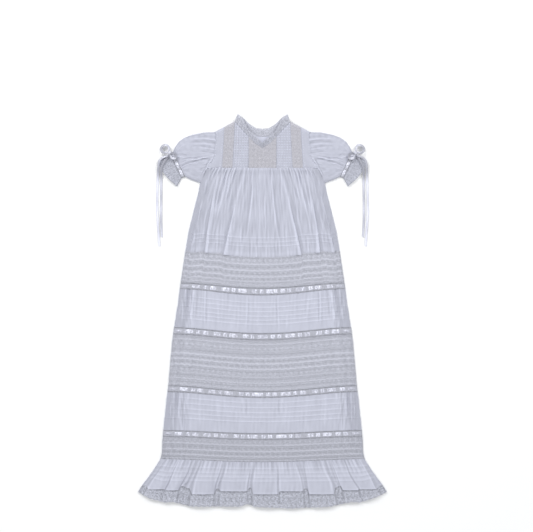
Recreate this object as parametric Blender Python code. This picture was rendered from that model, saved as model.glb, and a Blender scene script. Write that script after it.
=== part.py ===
"""Infant's christening gown with short puffed sleeves, laid out flat, face up.

The skirt is a stack of flattened tubes of cloth: three tucked tiers, three
bands of lace and four bands of beading with a ribbon run through each, then a
gathered ruffle edged with lace. The yoke is cut in panels, front over back,
with a lace collar. Each sleeve is a flattened tube gathered into a beading
cuff with a lace frill, a ribbon, a bow and the bow's two free ends.

The gown lies on its back: +X is the wearer's left, +Y is up to the neck and
+Z is up off the table. Its underside rests at z = 0.
"""
import math

import bmesh
import bpy
import numpy as np

# Layout grid: the tables count squares of it, across from the centre line
# and down from the collar's highest point
GRID = 0.00225
LENGTH = 393.5

# Cloth
WALL = 0.0012
AIR = 0.0005
SEAM = 0.0003
EDGE = 0.0012
EDGE_FADE = 1.0 / 16.0
INNER_INSET = 0.9 * WALL
FOLD_SPACE = 0.0037
FLAT_HEIGHT = 2 * WALL + AIR
HALF_SEAM = 0.5 * SEAM / GRID

# Raised work, above the plain cloth
TUCK_HEIGHT = 0.0009
LACE_ROW_HEIGHT = 0.0006
BEADING_EDGE_HEIGHT = 0.0005
TUCK_EDGE = 0.35

# Columns of points across the skirt's flat pieces, outside and inside
FLAT_COLUMNS = 29
INNER_COLUMNS = 17

# Ribbons
RIBBON_THICKNESS = 0.0010
RIBBON_PUFF = 0.0011
RIBBON_PITCH = 9.5
RIBBON_GAP = 0.0004
RIBBON_END = 0.985
CUFF_RIBBON_PUFF = 0.6 * RIBBON_PUFF
BEADING_SLOT_TOP = 0.21
BEADING_SLOT_FOOT = 0.79
BEADING_ROWS = (
    (0.0, BEADING_EDGE_HEIGHT),
    (BEADING_SLOT_TOP, 0.0),
    (BEADING_SLOT_FOOT, 0.0),
    (1.0, BEADING_EDGE_HEIGHT),
)
RIBBON_TOP = 0.25
RIBBON_FOOT = 0.75
STREAMER_WIDTH = 0.0050
STREAMER_THICKNESS = 0.0010
BOW_WIDTH = 0.0042
BOW_THICKNESS = 0.0010
BOW_SPACING = 0.0034
STREAMER_SPACING = 0.010

# Ribbon between two bars: (share of the way, how far it puffs up)
RIBBON_PATCH = (
    (0.0, 0.0),
    (0.22, 1.0),
    (0.78, 0.85),
)

# Yoke and collar
YOKE_BACK_UNDER = 0.0013
YOKE_BACK_TOP = YOKE_BACK_UNDER + WALL
YOKE_FRONT_UNDER = YOKE_BACK_TOP + SEAM
YOKE_FRONT_TOP = YOKE_FRONT_UNDER + WALL
YOKE_HEM = 53.5
YOKE_LACE_RELIEF = 0.0005
YOKE_LACE_ROWS = (0.0, 0.05, 0.07, 0.93, 0.95, 1.0)
PIN_TUCKS = 6
PIN_TUCK_CREST = 0.5
PIN_TUCK_DROP = 0.08
PIN_TUCK_ROWS = (0.0, 0.03, 0.5, 0.97, 1.0)
ARMHOLE_ROWS = (0.0, 0.11, 0.4, 0.72, 0.92, 1.0)
COLLAR_RISE = 0.0030
COLLAR_WAVES = 12
COLLAR_WAVE_HEIGHT = 0.0012

# Shoulder line and necklines, on the wearer's right: (across, down)
SHOULDER = (
    (-47.5, 17.5),
    (-28.6, 7.4),
    (-27.4, 6.9),
)
FRONT_NECK = (
    (-27.6, 7.0),
    (-20.8, 14.6),
    (-14.0, 22.0),
    (-7.0, 29.2),
    (0.0, 33.6),
)
BACK_NECK = (
    (-26.4, 8.2),
    (-19.5, 13.4),
    (-13.5, 18.3),
    (-6.5, 21.6),
    (0.0, 22.3),
)
NECK_GAP = 0.22

# Edges of the yoke's panels: (share down the panel, across)
ARMHOLE_EDGE = (
    (0.00, -47.2),
    (0.11, -46.3),
    (0.72, -48.9),
    (0.92, -54.3),
    (1.00, -55.3),
)
SIDE_SEAM = (
    (0.0, -38.2),
    (1.0, -40.5),
)
LACE_SEAM = (
    (0.0, -27.6),
    (1.0, -30.0),
)
CENTRE_SEAM = (
    (0.0, -14.0),
    (1.0, -14.0),
)

# Collar, on the wearer's right: (share of the way to the middle, across at
# its free edge, down at its free edge)
COLLAR_FRONT_FREE = (
    (0.00, -25.0, 0.3),
    (0.12, -19.8, 4.4),
    (0.30, -16.6, 10.4),
    (0.48, -13.6, 16.6),
    (0.62, -8.4, 20.6),
    (0.82, -3.4, 25.0),
    (1.00, 0.0, 28.8),
)
COLLAR_BACK_FREE = (
    (0.00, -25.0, 0.0),
    (0.25, -19.2, 3.6),
    (0.50, -13.7, 9.2),
    (0.75, -6.6, 13.8),
    (1.00, -0.07, 14.5),
)

# Back buttons
BUTTON_RADIUS = 0.0045
BUTTON_THICKNESS = 0.0010
BUTTON_RIM = 0.0003
BUTTON_SIDES = 14
BUTTON_DOWNS = (27.0, 38.0, 49.0)

# Skirt outline: (down, half width)
SKIRT_OUTLINE = (
    (53.5, 55.5),
    (57.5, 58.3),
    (62.0, 60.4),
    (68.5, 62.5),
    (75.5, 63.6),
    (87.5, 66.5),
    (99.5, 69.7),
    (117.5, 74.0),
    (135.5, 77.1),
    (153.5, 79.7),
    (171.5, 82.4),
    (189.5, 84.7),
    (207.5, 87.6),
    (225.5, 90.4),
    (249.5, 92.4),
    (273.5, 94.6),
    (297.5, 97.4),
    (321.5, 99.9),
    (339.5, 100.8),
    (345.5, 102.6),
    (351.5, 106.4),
    (357.5, 110.4),
    (363.5, 114.8),
    (369.5, 119.5),
    (377.5, 124.5),
)

# Seams round the skirt: name: (down at the sides, down at the centre)
SEAMS = {
    "yoke": (53.5, 53.5),
    "tier_1": (136.5, 142.0),
    "lace_1": (168.0, 173.0),
    "beading_1": (174.5, 181.0),
    "tier_2": (212.5, 218.5),
    "beading_2": (220.0, 226.0),
    "lace_2": (270.5, 276.5),
    "beading_3": (277.5, 283.5),
    "tier_3": (315.3, 318.6),
    "beading_4": (322.3, 325.6),
    "lace_3": (344.5, 347.5),
    "ruffle": (370.5, 370.5),
    "hem": (377.5, 377.5),
}

# Lowest edge of the first tier: (share of the half width, extra drop)
TIER_1_STEPS = (
    (0.000, 0.6),
    (0.490, 0.9),
    (0.520, -0.6),
    (0.735, 0.6),
    (0.755, -0.8),
    (0.925, 1.6),
    (0.945, -0.2),
    (1.000, 0.0),
)

# Pleats of the first tier, alike on both sides:
# (place at its top, place at its foot, down where it starts, height,
#  width of the roll, width of the drop), places as shares of the half width
PLEATS = (
    (0.40, 0.500, 84.0, 0.0036, 0.17, 0.022),
    (0.76, 0.742, 66.0, 0.0034, 0.14, 0.022),
    (0.90, 0.932, 74.0, 0.0026, 0.10, 0.022),
)

# Gathers below the yoke, and the rows of the first tier above its tucks
GATHERS = 19
GATHER_HEIGHT = 0.0019
GATHER_END = 104.0
TIER_1_UPPER_ROWS = (57.5, 62.0, 68.5, 80.0, 95.0, 111.0)

# Soft lengthwise folds of the skirt below the first tier:
# (place at its top, place at its foot, down at its top, down at its foot,
#  half width, height), places as shares of the half width
SOFT_FOLDS = (
    (-0.93, -0.94, 168.0, 352.0, 0.055, 0.0018),
    (-0.80, -0.85, 150.0, 352.0, 0.085, 0.0024),
    (-0.60, -0.62, 168.0, 300.0, 0.080, 0.0015),
    (-0.34, -0.38, 196.0, 352.0, 0.090, 0.0010),
    (-0.07, -0.03, 160.0, 300.0, 0.070, 0.0014),
    (0.24, 0.28, 226.0, 352.0, 0.090, 0.0009),
    (0.59, 0.66, 160.0, 330.0, 0.080, 0.0017),
    (0.80, 0.84, 150.0, 352.0, 0.085, 0.0023),
    (0.93, 0.95, 168.0, 352.0, 0.055, 0.0016),
)

# Tucks: down at the centre of each tuck's folded edge, or its share of the
# way down the ruffle
TIER_1_TUCKS = (123.8, 128.0, 132.0)
TIER_2_TUCKS = (189.0, 193.5, 198.0, 202.5, 206.5, 210.5)
TIER_3_TUCKS = (289.0, 294.0, 299.0, 303.5, 308.0)
RUFFLE_TUCKS = (0.26, 0.42, 0.56, 0.70)

# Thick rows in the lace bands, down at the centre
LACE_1_ROWS = (150.0, 155.5, 161.5, 167.5)
LACE_2_ROWS = (243.0, 249.5, 255.5, 263.0)
LACE_3_ROWS = (331.5, 337.5, 342.5)

# Flutes of the ruffle: (left edge, right edge, down at the foot, height)
FLUTES = (
    (-119.5, -114.5, 371.0, 0.0006),
    (-114.5, -97.5, 374.5, 0.0040),
    (-97.5, -82.5, 375.5, 0.0044),
    (-82.5, -76.5, 371.5, 0.0016),
    (-76.5, -71.5, 373.5, 0.0010),
    (-71.5, -47.0, 379.5, 0.0050),
    (-47.0, -43.0, 374.0, 0.0016),
    (-43.0, -14.0, 376.5, 0.0044),
    (-14.0, -10.5, 373.0, 0.0008),
    (-10.5, 16.5, 379.5, 0.0050),
    (16.5, 41.0, 376.5, 0.0038),
    (41.0, 45.5, 373.8, 0.0014),
    (45.5, 72.0, 379.5, 0.0050),
    (72.0, 74.5, 373.0, 0.0008),
    (74.5, 79.0, 371.5, 0.0016),
    (79.0, 95.5, 375.5, 0.0044),
    (95.5, 114.5, 374.5, 0.0040),
    (114.5, 119.5, 371.0, 0.0006),
)
FLUTE_FOOT_HALF = 119.5
RUFFLE_GATHERS = 52
RUFFLE_GATHER_HEIGHT = 0.0016
RUFFLE_TUCK_EDGE = 0.018
RUFFLE_LAST_ROWS = (0.86, 1.0)
WIDE_FLUTE = 10.0
WIDE_FLUTE_STATIONS = (0.05, 0.30, 0.70, 0.95)
NARROW_FLUTE_STATIONS = (0.25, 0.75)

# Hem lace: (share of the way down, relief) of its rows, its flutes' height as a
# share of the ruffle's, and its lower edge as (share of the half width, down)
HEM_LACE_ROWS = (
    (0.0, 0.0),
    (0.30, LACE_ROW_HEIGHT),
    (0.50, 0.0),
    (0.84, LACE_ROW_HEIGHT),
    (1.0, 0.0),
)
HEM_LACE_LIFT = 0.85
HEM_EDGE = (
    (-1.000, 377.5),
    (-0.905, 383.5),
    (-0.785, 387.5),
    (-0.725, 386.8),
    (-0.580, 391.5),
    (-0.180, 391.6),
    (-0.120, 389.2),
    (-0.060, 391.8),
    (0.220, 393.5),
    (0.545, 391.6),
    (0.720, 386.8),
    (0.785, 387.5),
    (0.905, 382.6),
    (1.000, 377.5),
)

# Sleeve stations from the armhole to the cuff, on the wearer's right:
# (share of the way, top edge across, top edge down, under edge across,
#  under edge down)
SLEEVE_STATIONS = (
    (0.00, -47.5, 17.5, -62.8, 68.3),
    (0.20, -58.9, 17.9, -65.6, 67.3),
    (0.40, -70.1, 20.2, -68.8, 66.1),
    (0.60, -78.1, 23.1, -71.8, 65.0),
    (0.76, -83.6, 27.1, -74.0, 64.0),
    (0.90, -87.2, 32.2, -76.0, 62.9),
    (1.00, -89.4, 37.0, -77.4, 62.0),
)

# Armhole seam: (share of the way from the shoulder to the underarm,
#  across, down)
ARMHOLE = (
    (0.00, -47.5, 17.5),
    (0.08, -46.6, 21.5),
    (0.50, -49.2, 43.2),
    (0.67, -54.6, 50.6),
    (0.72, -55.6, 53.5),
    (0.80, -58.5, 57.5),
    (0.88, -60.7, 62.0),
    (1.00, -62.8, 68.3),
)
SLEEVE_ROWS = (0.0, 0.14, 0.32, 0.52, 0.72, 0.88, 1.0)
SLEEVE_PUFF = 0.0030
SLEEVE_LENGTH = 50.0
SLEEVE_GATHER = 0.0010
SLEEVE_GATHERS = 10
ARMHOLE_GAP = 0.25

# Cuff: the line where the sleeve ends, its depth and the frill's free edge
CUFF_TOP = (-89.4, 37.0)
CUFF_FOOT = (-77.4, 62.0)
CUFF_START = 0.12
CUFF_DEPTH = 4.0
CUFF_LIFT = 0.0010
CUFF_PATCHES = 3
FRILL_EDGE = (
    (-101.3, 44.1),
    (-102.9, 47.6),
    (-102.9, 51.2),
    (-99.6, 57.0),
    (-95.5, 62.4),
    (-91.1, 66.8),
    (-85.3, 71.8),
)
FRILL_ROWS = (
    (0.0, 0.0),
    (0.35, LACE_ROW_HEIGHT),
    (0.6, 0.0),
    (0.85, LACE_ROW_HEIGHT),
    (1.0, 0.0),
)
FRILL_WAVES = 5
FRILL_WAVE_HEIGHT = 0.0012

# Bow at the wearer's right cuff. Its own axes, in mm from the knot: the first
# runs through both loops, the second across them, and the third is the height
KNOT_CENTRE = (-92.6, 38.7)
BOW_TURN = math.radians(-41.0)
BOW_ROUTE = (
    (-2.4, 1.7, 7.7),
    (-5.0, 3.2, 7.4),
    (-9.0, 7.2, 6.6),
    (-14.0, 9.4, 5.4),
    (-19.8, 7.0, 4.6),
    (-22.4, 0.0, 4.2),
    (-19.8, -7.0, 4.4),
    (-14.0, -9.4, 5.2),
    (-9.0, -6.8, 6.4),
    (-5.0, -2.8, 7.4),
    (-2.2, -1.3, 7.7),
    (2.2, 1.1, 8.0),
    (5.2, 3.4, 8.4),
    (9.4, 5.4, 8.5),
    (14.0, 4.8, 8.5),
    (16.8, 0.6, 8.5),
    (14.6, -3.8, 8.5),
    (9.8, -5.2, 8.4),
    (5.4, -3.4, 8.2),
    (2.6, -1.9, 8.0),
)
KNOT_SPAN = 0.0094
KNOT_TOP = 0.0124
KNOT_FOOT = 0.0048
KNOT_WIDTH = 0.0056
KNOT_SIDES = 8

# Free ends of the bow, on the wearer's right: (across, down, height)
OUTER_STREAMER = (
    (-94.30, 40.66, 0.0084),
    (-95.6, 41.8, 0.0083),
    (-98.4, 42.6, 0.0078),
    (-101.4, 44.4, 0.0062),
    (-103.4, 47.8, 0.0058),
    (-104.2, 54.0, 0.0044),
    (-104.6, 62.0, 0.0014),
    (-105.0, 72.0, 0.0008),
    (-105.3, 84.0, 0.0008),
    (-105.3, 97.0, 0.0010),
    (-104.6, 110.0, 0.0010),
    (-103.8, 121.0, 0.0008),
    (-103.2, 131.4, 0.0008),
)
INNER_STREAMER = (
    (-94.30, 40.66, 0.0066),
    (-95.2, 42.6, 0.0064),
    (-97.6, 46.4, 0.0062),
    (-99.8, 50.4, 0.0060),
    (-100.9, 54.5, 0.0056),
    (-101.2, 59.5, 0.0040),
    (-101.2, 67.0, 0.0014),
    (-101.3, 76.0, 0.0008),
    (-101.4, 90.0, 0.0008),
    (-101.5, 104.0, 0.0010),
    (-101.1, 114.0, 0.0008),
    (-100.7, 122.5, 0.0008),
)

# Materials: name: (red, green, blue, roughness), colours as seen
FINISHES = {
    "lawn": (0.76, 0.77, 0.83, 0.85),
    "lace": (0.71, 0.72, 0.77, 0.90),
    "cream_lace": (0.72, 0.71, 0.74, 0.90),
    "satin": (0.84, 0.84, 0.91, 0.35),
    "button": (0.82, 0.82, 0.84, 0.40),
}


def lerp(a, b, t):
    """The value a share t of the way from a to b."""
    return a + (b - a) * t


def smooth(low, high, value):
    """A soft step from 0 at low to 1 at high."""
    t = min(1.0, max(0.0, (value - low) / (high - low)))
    return t * t * (3.0 - 2.0 * t)


def on_grid(across, down):
    """A point of the layout, in metres."""
    return across * GRID, (0.5 * LENGTH - down) * GRID


def spread(count):
    """Places from -1 to 1, evenly spaced."""
    return [2.0 * i / (count - 1) - 1.0 for i in range(count)]


def read(table, value, column=1):
    """A column of a table, at a value of its first column."""
    keys = [row[0] for row in table]
    return float(np.interp(value, keys, [row[column] for row in table]))


def material(name, finish):
    """A material of the object's own, with one of the finishes."""
    red, green, blue, roughness = FINISHES[finish]
    made = bpy.data.materials.new(name)
    made.use_nodes = True
    shader = made.node_tree.nodes["Principled BSDF"]
    linear = [channel ** 2.2 for channel in (red, green, blue)]
    shader.inputs["Base Color"].default_value = (*linear, 1.0)
    shader.inputs["Roughness"].default_value = roughness
    shader.inputs["Metallic"].default_value = 0.0
    return made


def add_object(name, finish, points, faces):
    """One closed body of cloth, with its faces pointing out."""
    mesh = bpy.data.meshes.new(name)
    mesh.from_pydata([tuple(map(float, point)) for point in points], [], faces)
    form = bmesh.new()
    form.from_mesh(mesh)
    bmesh.ops.recalc_face_normals(form, faces=form.faces)
    bmesh.ops.triangulate(form, faces=form.faces)
    form.to_mesh(mesh)
    form.free()
    mesh.materials.append(material(name, finish))
    made = bpy.data.objects.new(name, mesh)
    bpy.context.scene.collection.objects.link(made)
    return made


def join_loops(faces, first, first_stations, second, second_stations):
    """Fill between two closed loops that run side by side, station by station."""
    i = j = 0
    count, other = len(first), len(second)
    first_stations = list(first_stations) + [first_stations[0] + 2.0]
    second_stations = list(second_stations) + [second_stations[0] + 2.0]
    while i < count or j < other:
        ahead = i < count and (
            j >= other or first_stations[i + 1] <= second_stations[j + 1]
        )
        a, b = first[i % count], second[j % other]
        if ahead:
            faces.append((a, first[(i + 1) % count], b))
            i += 1
        else:
            faces.append((a, second[(j + 1) % other], b))
            j += 1


class FlatTube:
    """A tube of cloth pressed flat, open at both ends.

    place(u, v, front) gives the plan position, u from -1 to 1 across and v
    from 0 to 1 along. half(v) is half its width. height(u, v) is the front's
    outer height, and relief(u, v) is raised work that only shows outside.
    """

    def __init__(self, place, half, height, back_columns=9):
        self.place = place
        self.half = half
        self.height = height
        self.back = spread(back_columns)

    def ring(self, v, columns, inset, front, back):
        """One section: left fold, front, right fold, back."""
        half = self.half(v)
        side = 1.0 - inset / half
        shoulder = 1.0 - (inset + EDGE) / half
        middle = 0.5 * FLAT_HEIGHT
        points = [(*self.place(-side, v, True), middle)]
        stations = [0.0]
        for column in columns:
            u = max(-shoulder, min(shoulder, column))
            points.append((*self.place(u, v, True), front(column, v)))
            stations.append(0.5 + 0.48 * column)
        points.append((*self.place(side, v, True), middle))
        stations.append(1.0)
        for column in reversed(self.back):
            u = max(-shoulder, min(shoulder, column))
            points.append((*self.place(u, v, False), back))
            stations.append(1.5 - 0.48 * column)
        return points, stations

    def inner_height(self, u, v, reach):
        """The front's inside, kept below the outside of the fold it follows."""
        lowest = min(
            self.height(max(-1.0, min(1.0, u + shift * reach)), v)
            for shift in (-1.0, -0.5, 0.0, 0.5, 1.0)
        )
        return min(max(lowest - WALL, WALL + AIR), WALL + FOLD_SPACE)

    def build(self, name, finish, columns, rows, inner_columns, inner_rows):
        """rows are (v, relief) pairs; the inside is plain and coarser."""
        points, faces = [], []

        def raised(extra):
            def outer(u, v):
                fade = min(1.0, (1.0 - abs(u)) / EDGE_FADE)
                return self.height(u, v) + extra * fade

            return outer

        def skin(levels):
            loops = []
            for ring_points, stations in levels:
                start = len(points)
                points.extend(ring_points)
                loops.append((list(range(start, len(points))), stations))
            for (upper, _), (lower, _) in zip(loops, loops[1:]):
                count = len(upper)
                for i in range(count):
                    j = (i + 1) % count
                    faces.append((upper[i], upper[j], lower[j], lower[i]))
            return loops

        reach = 2.0 / (len(inner_columns) - 1)
        outer_loops = skin(
            [self.ring(v, columns, 0.0, raised(extra), 0.0) for v, extra in rows]
        )
        inner_loops = skin(
            [
                self.ring(
                    v,
                    inner_columns,
                    INNER_INSET,
                    lambda u, w: self.inner_height(u, w, reach),
                    WALL,
                )
                for v in inner_rows
            ]
        )
        for end in (0, -1):
            outer, outer_stations = outer_loops[end]
            inner, inner_stations = inner_loops[end]
            join_loops(faces, outer, outer_stations, inner, inner_stations)
        return add_object(name, finish, points, faces)


def plate(name, finish, place, under, over, columns, rows):
    """A single layer of cloth: an upper and a lower skin with closed edges."""
    points, faces = [], []
    wide, deep = len(columns), len(rows)
    for level in (over, under):
        for v in rows:
            for u in columns:
                points.append((*place(u, v), level(u, v)))
    lower = wide * deep

    def at(i, j):
        return j * wide + i

    for j in range(deep - 1):
        for i in range(wide - 1):
            quad = (at(i, j), at(i + 1, j), at(i + 1, j + 1), at(i, j + 1))
            faces.append(quad)
            faces.append(tuple(lower + k for k in reversed(quad)))
    border = [at(i, 0) for i in range(wide)]
    border += [at(wide - 1, j) for j in range(1, deep)]
    border += [at(i, deep - 1) for i in range(wide - 2, -1, -1)]
    border += [at(0, j) for j in range(deep - 2, 0, -1)]
    for a, b in zip(border, border[1:] + border[:1]):
        faces.append((a, b, lower + b, lower + a))
    return add_object(name, finish, points, faces)


def laid_out(table):
    """A route's points in metres, from places on the layout and heights."""
    return [np.array((*on_grid(row[0], row[1]), row[2])) for row in table]


def smooth_route(route, spacing):
    """Evenly spaced points on a smooth curve through a route's points."""
    ends = [2 * route[0] - route[1]] + route + [2 * route[-1] - route[-2]]
    fine = []
    for k in range(1, len(ends) - 2):
        a, b, c, d = ends[k - 1 : k + 3]
        for t in np.linspace(0.0, 1.0, 12, endpoint=False):
            fine.append(
                0.5
                * (
                    2 * b
                    + (c - a) * t
                    + (2 * a - 5 * b + 4 * c - d) * t * t
                    + (3 * b - a - 3 * c + d) * t ** 3
                )
            )
    fine.append(route[-1])
    fine = np.array(fine)
    run = np.concatenate(
        ([0.0], np.cumsum(np.linalg.norm(np.diff(fine, axis=0), axis=1)))
    )
    count = max(3, int(round(run[-1] / spacing)) + 1)
    marks = np.linspace(0.0, run[-1], count)
    return np.stack([np.interp(marks, run, fine[:, k]) for k in range(3)], axis=1)


def strip(name, finish, route, width, thickness, upright, mirror=1.0):
    """A ribbon along a route, lying flat or standing on its edge."""
    points, faces = [], []
    count = len(route)
    for i, centre in enumerate(route):
        along = route[min(i + 1, count - 1)] - route[max(i - 1, 0)]
        level = np.array((-along[1], along[0], 0.0))
        level /= np.linalg.norm(level)
        rise = np.array((0.0, 0.0, 1.0))
        across, out = (rise, level) if upright else (level, rise)
        for a, b in ((-1, -1), (1, -1), (1, 1), (-1, 1)):
            point = centre + across * a * 0.5 * width + out * b * 0.5 * thickness
            points.append((point[0] * mirror, point[1], point[2]))
    for i in range(count - 1):
        for k in range(4):
            m = (k + 1) % 4
            faces.append((4 * i + k, 4 * i + m, 4 * i + 4 + m, 4 * i + 4 + k))
    faces.append((0, 1, 2, 3))
    last = 4 * (count - 1)
    faces.append((last + 3, last + 2, last + 1, last))
    return add_object(name, finish, points, faces)


# Skirt


def half_width(down):
    """The skirt's half width on the layout."""
    return read(SKIRT_OUTLINE, down)


def seam_sag(u):
    """How the seams hang lower in the middle of the skirt."""
    return (1.0 - u * u) ** 2


def tier_1_steps(u):
    """Extra drop of the first tier's stepped edge."""
    return read(TIER_1_STEPS, abs(u))


def flute_at(u):
    """The ruffle's flute at a place, and the share of the way across it."""
    across = u * FLUTE_FOOT_HALF
    for flute in FLUTES:
        if across <= flute[1]:
            return flute, (across - flute[0]) / (flute[1] - flute[0])
    return FLUTES[-1], 1.0


def ruffle_columns():
    """Columns of the ruffle and its lace, with one at each side of each fold."""
    places = [-1.0]
    for left, right, _, _ in FLUTES:
        wide = right - left > WIDE_FLUTE
        for t in WIDE_FLUTE_STATIONS if wide else NARROW_FLUTE_STATIONS:
            places.append(lerp(left, right, t) / FLUTE_FOOT_HALF)
    return places + [1.0]


RUFFLE_COLUMNS = ruffle_columns()
RUFFLE_FOOT = [
    SEAMS["ruffle"][0] if abs(u) == 1.0 else flute_at(u)[0][2] for u in RUFFLE_COLUMNS
]


def ruffle_foot(u):
    """Down of the ruffle's lower edge."""
    return float(np.interp(u, RUFFLE_COLUMNS, RUFFLE_FOOT))


def pleat_height(u, down):
    """Height of the first tier's pleats, rolled on the inner side."""
    height = 0.0
    for top, foot, start, rise, roll, drop in PLEATS:
        share = min(1.0, max(0.0, (down - start) / (SEAMS["tier_1"][1] - start)))
        crest = lerp(top, foot, share)
        gap = abs(u) - crest
        form = 1.0 - gap / drop if gap > 0 else 1.0 + gap / roll
        form = min(1.0, max(0.0, form))
        height = max(height, rise * form ** 1.3 * smooth(0.0, 0.45, share))
    return height


def soft_fold_height(u, down):
    """Height of the skirt's soft folds."""
    height = 0.0
    for top, foot, start, end, half, rise in SOFT_FOLDS:
        share = (down - start) / (end - start)
        if 0.0 < share < 1.0:
            gap = abs(u - lerp(top, foot, share)) / half
            ends = smooth(0.0, 0.15, share) * smooth(0.0, 0.15, 1.0 - share)
            height += rise * ends * max(0.0, 1.0 - gap * gap) ** 2
    return height


def gather_height(u, down):
    """Height of the gathers below the yoke."""
    fade = 1.0 - smooth(YOKE_HEM, GATHER_END, down)
    wave = 0.5 + 0.5 * math.cos(GATHERS * math.pi * u)
    uneven = 0.75 + 0.25 * math.sin(17.0 * u + 0.6)
    return GATHER_HEIGHT * fade * wave * uneven


def band(top, foot, front_top=None, front_foot=None):
    """Plan position and half width of a piece between two of the seams."""
    top_side, top_centre = SEAMS[top]
    foot_side, foot_centre = SEAMS[foot]
    top_side += HALF_SEAM
    foot_side -= HALF_SEAM

    def down_at(u, v, front):
        upper = top_side + (top_centre - SEAMS[top][0]) * seam_sag(u)
        lower = foot_side + (foot_centre - SEAMS[foot][0]) * seam_sag(u)
        if front and front_top:
            upper = front_top(u)
        if front and front_foot:
            lower = front_foot(u)
        return lerp(upper, lower, v)

    def half(v):
        return half_width(lerp(SEAMS[top][0], SEAMS[foot][0], v)) * GRID

    def place(u, v, front):
        return on_grid(u * half(v) / GRID, down_at(u, v, front))

    def share(down, u=0.0):
        return (down - down_at(u, 0.0, False)) / (
            down_at(u, 1.0, False) - down_at(u, 0.0, False)
        )

    return place, half, down_at, share


def edge_rows(edges, ends, rise, width):
    """Rows for tucks: the cloth swells to each folded edge, then drops."""
    rows = [(0.0, 0.0)]
    for edge in edges:
        rows.append((edge - width, rise))
        rows.append((edge, 0.0))
    rows.extend((end, 0.0) for end in ends)
    return rows


def rib_rows(centres, rise):
    """Rows for the thick lines of a lace: crests, with a hollow between."""
    rows = [(0.0, 0.0)]
    for k, centre in enumerate(centres):
        if k:
            rows.append((0.5 * (centres[k - 1] + centre), 0.0))
        rows.append((centre, rise))
    return rows + [(1.0, 0.0)]


def fold_height(band_down):
    """Front height of a piece that only has the skirt's soft folds."""

    def height(u, v):
        return FLAT_HEIGHT + soft_fold_height(u, band_down(0.0, v, False))

    return height


def pleat_columns():
    """Columns of the first tier and the lace below it."""
    places = set(round(u, 4) for u in spread(2 * GATHERS + 1))
    for _, foot, _, _, _, drop in PLEATS:
        for sign in (-1.0, 1.0):
            places.add(round(sign * foot, 4))
            places.add(round(sign * (foot + drop), 4))
    return sorted(places)


def tier_1():
    """The gathered first tier, its lower edge stepped where pleats fall."""
    foot_side, foot_centre = SEAMS["tier_1"]

    def front_foot(u):
        sag = (foot_centre - foot_side) * seam_sag(u)
        return foot_side + sag + tier_1_steps(u) - 2.0 * HALF_SEAM

    place, half, down_at, _ = band("yoke", "tier_1", front_foot=front_foot)

    def height(u, v):
        down = down_at(0.0, v, False)
        lift = max(gather_height(u, down), pleat_height(u, down))
        return FLAT_HEIGHT + lift

    tube = FlatTube(place, half, height)
    top, foot = down_at(0.0, 0.0, False), down_at(0.0, 1.0, False)
    rows = []
    for down in (top,) + TIER_1_UPPER_ROWS:
        rows.append(((down - top) / (foot - top), 0.0))
    for centre in TIER_1_TUCKS:
        share = (centre - top) / (foot - top)
        rows.append((share - TUCK_EDGE / (foot - top), TUCK_HEIGHT))
        rows.append((share, 0.0))
    rows.append((1.0, 0.0))
    inner = [rows[k][0] for k in (0, 2, 3, 5)] + [1.0]
    columns = pleat_columns()
    tube.build("tier_1", "lawn", columns, rows, columns, inner)


def tucked_tier(name, top, foot, tucks):
    """A flat tier with rows of tucks round it."""
    place, half, down_at, share = band(top, foot)
    tube = FlatTube(place, half, fold_height(down_at))
    depth = down_at(0.0, 1.0, False) - down_at(0.0, 0.0, False)
    edges = [share(down) for down in tucks]
    rows = edge_rows(edges, (1.0,), TUCK_HEIGHT, TUCK_EDGE / depth)
    tube.build(name, "lawn", spread(FLAT_COLUMNS), rows, spread(INNER_COLUMNS), [0.0, 1.0])


def lace_band(name, top, foot, centres, columns, front_top=None):
    """A band of lace with thick rows round it."""
    place, half, down_at, share = band(top, foot, front_top=front_top)
    tube = FlatTube(place, half, fold_height(down_at))
    rows = rib_rows([share(down) for down in centres], LACE_ROW_HEIGHT)
    inner = columns if front_top else spread(INNER_COLUMNS)
    tube.build(name, "lace", columns, rows, inner, [0.0, 1.0])


def beading_with_ribbon(number, top, foot):
    """A band of beading and the ribbon that shows through its slots."""
    place, half, down_at, _ = band(top, foot)
    height = fold_height(down_at)
    patches = int(round(2.0 * half(0.5) / GRID / RIBBON_PITCH))
    places, levels = [], []
    for patch in range(patches):
        left = -RIBBON_END + 2.0 * RIBBON_END * patch / patches
        pitch = 2.0 * RIBBON_END / patches
        for share, level in RIBBON_PATCH:
            places.append(left + share * pitch)
            levels.append(level)
    places.append(RIBBON_END)
    levels.append(0.0)
    tube = FlatTube(place, half, height)
    columns = spread(FLAT_COLUMNS)
    inner = spread(INNER_COLUMNS)
    tube.build(f"beading_{number}", "lace", columns, BEADING_ROWS, inner, [0.0, 1.0])
    slots = (BEADING_SLOT_TOP, 0.5, BEADING_SLOT_FOOT)
    bed = [max(height(u, slot) for slot in slots) for u in columns]
    puffs = dict(zip(places, levels))

    def ribbon_place(u, v):
        return place(u, lerp(RIBBON_TOP, RIBBON_FOOT, v), True)

    def under(u, v):
        here = places.index(u)
        near = places[max(here - 1, 0)], places[min(here + 1, len(places) - 1)]
        return max(np.interp(np.linspace(*near, 7), columns, bed)) + RIBBON_GAP

    def over(u, v):
        return under(u, v) + RIBBON_THICKNESS + RIBBON_PUFF * puffs[u]

    plate(
        f"ribbon_{number}", "satin", ribbon_place, under, over, places, (0.0, 1.0)
    )


def flute_form(share):
    """Rounded form across a flute, 0 at its sides and 1 at its middle."""
    return math.sin(math.pi * min(1.0, max(0.0, share))) ** 0.7


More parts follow.
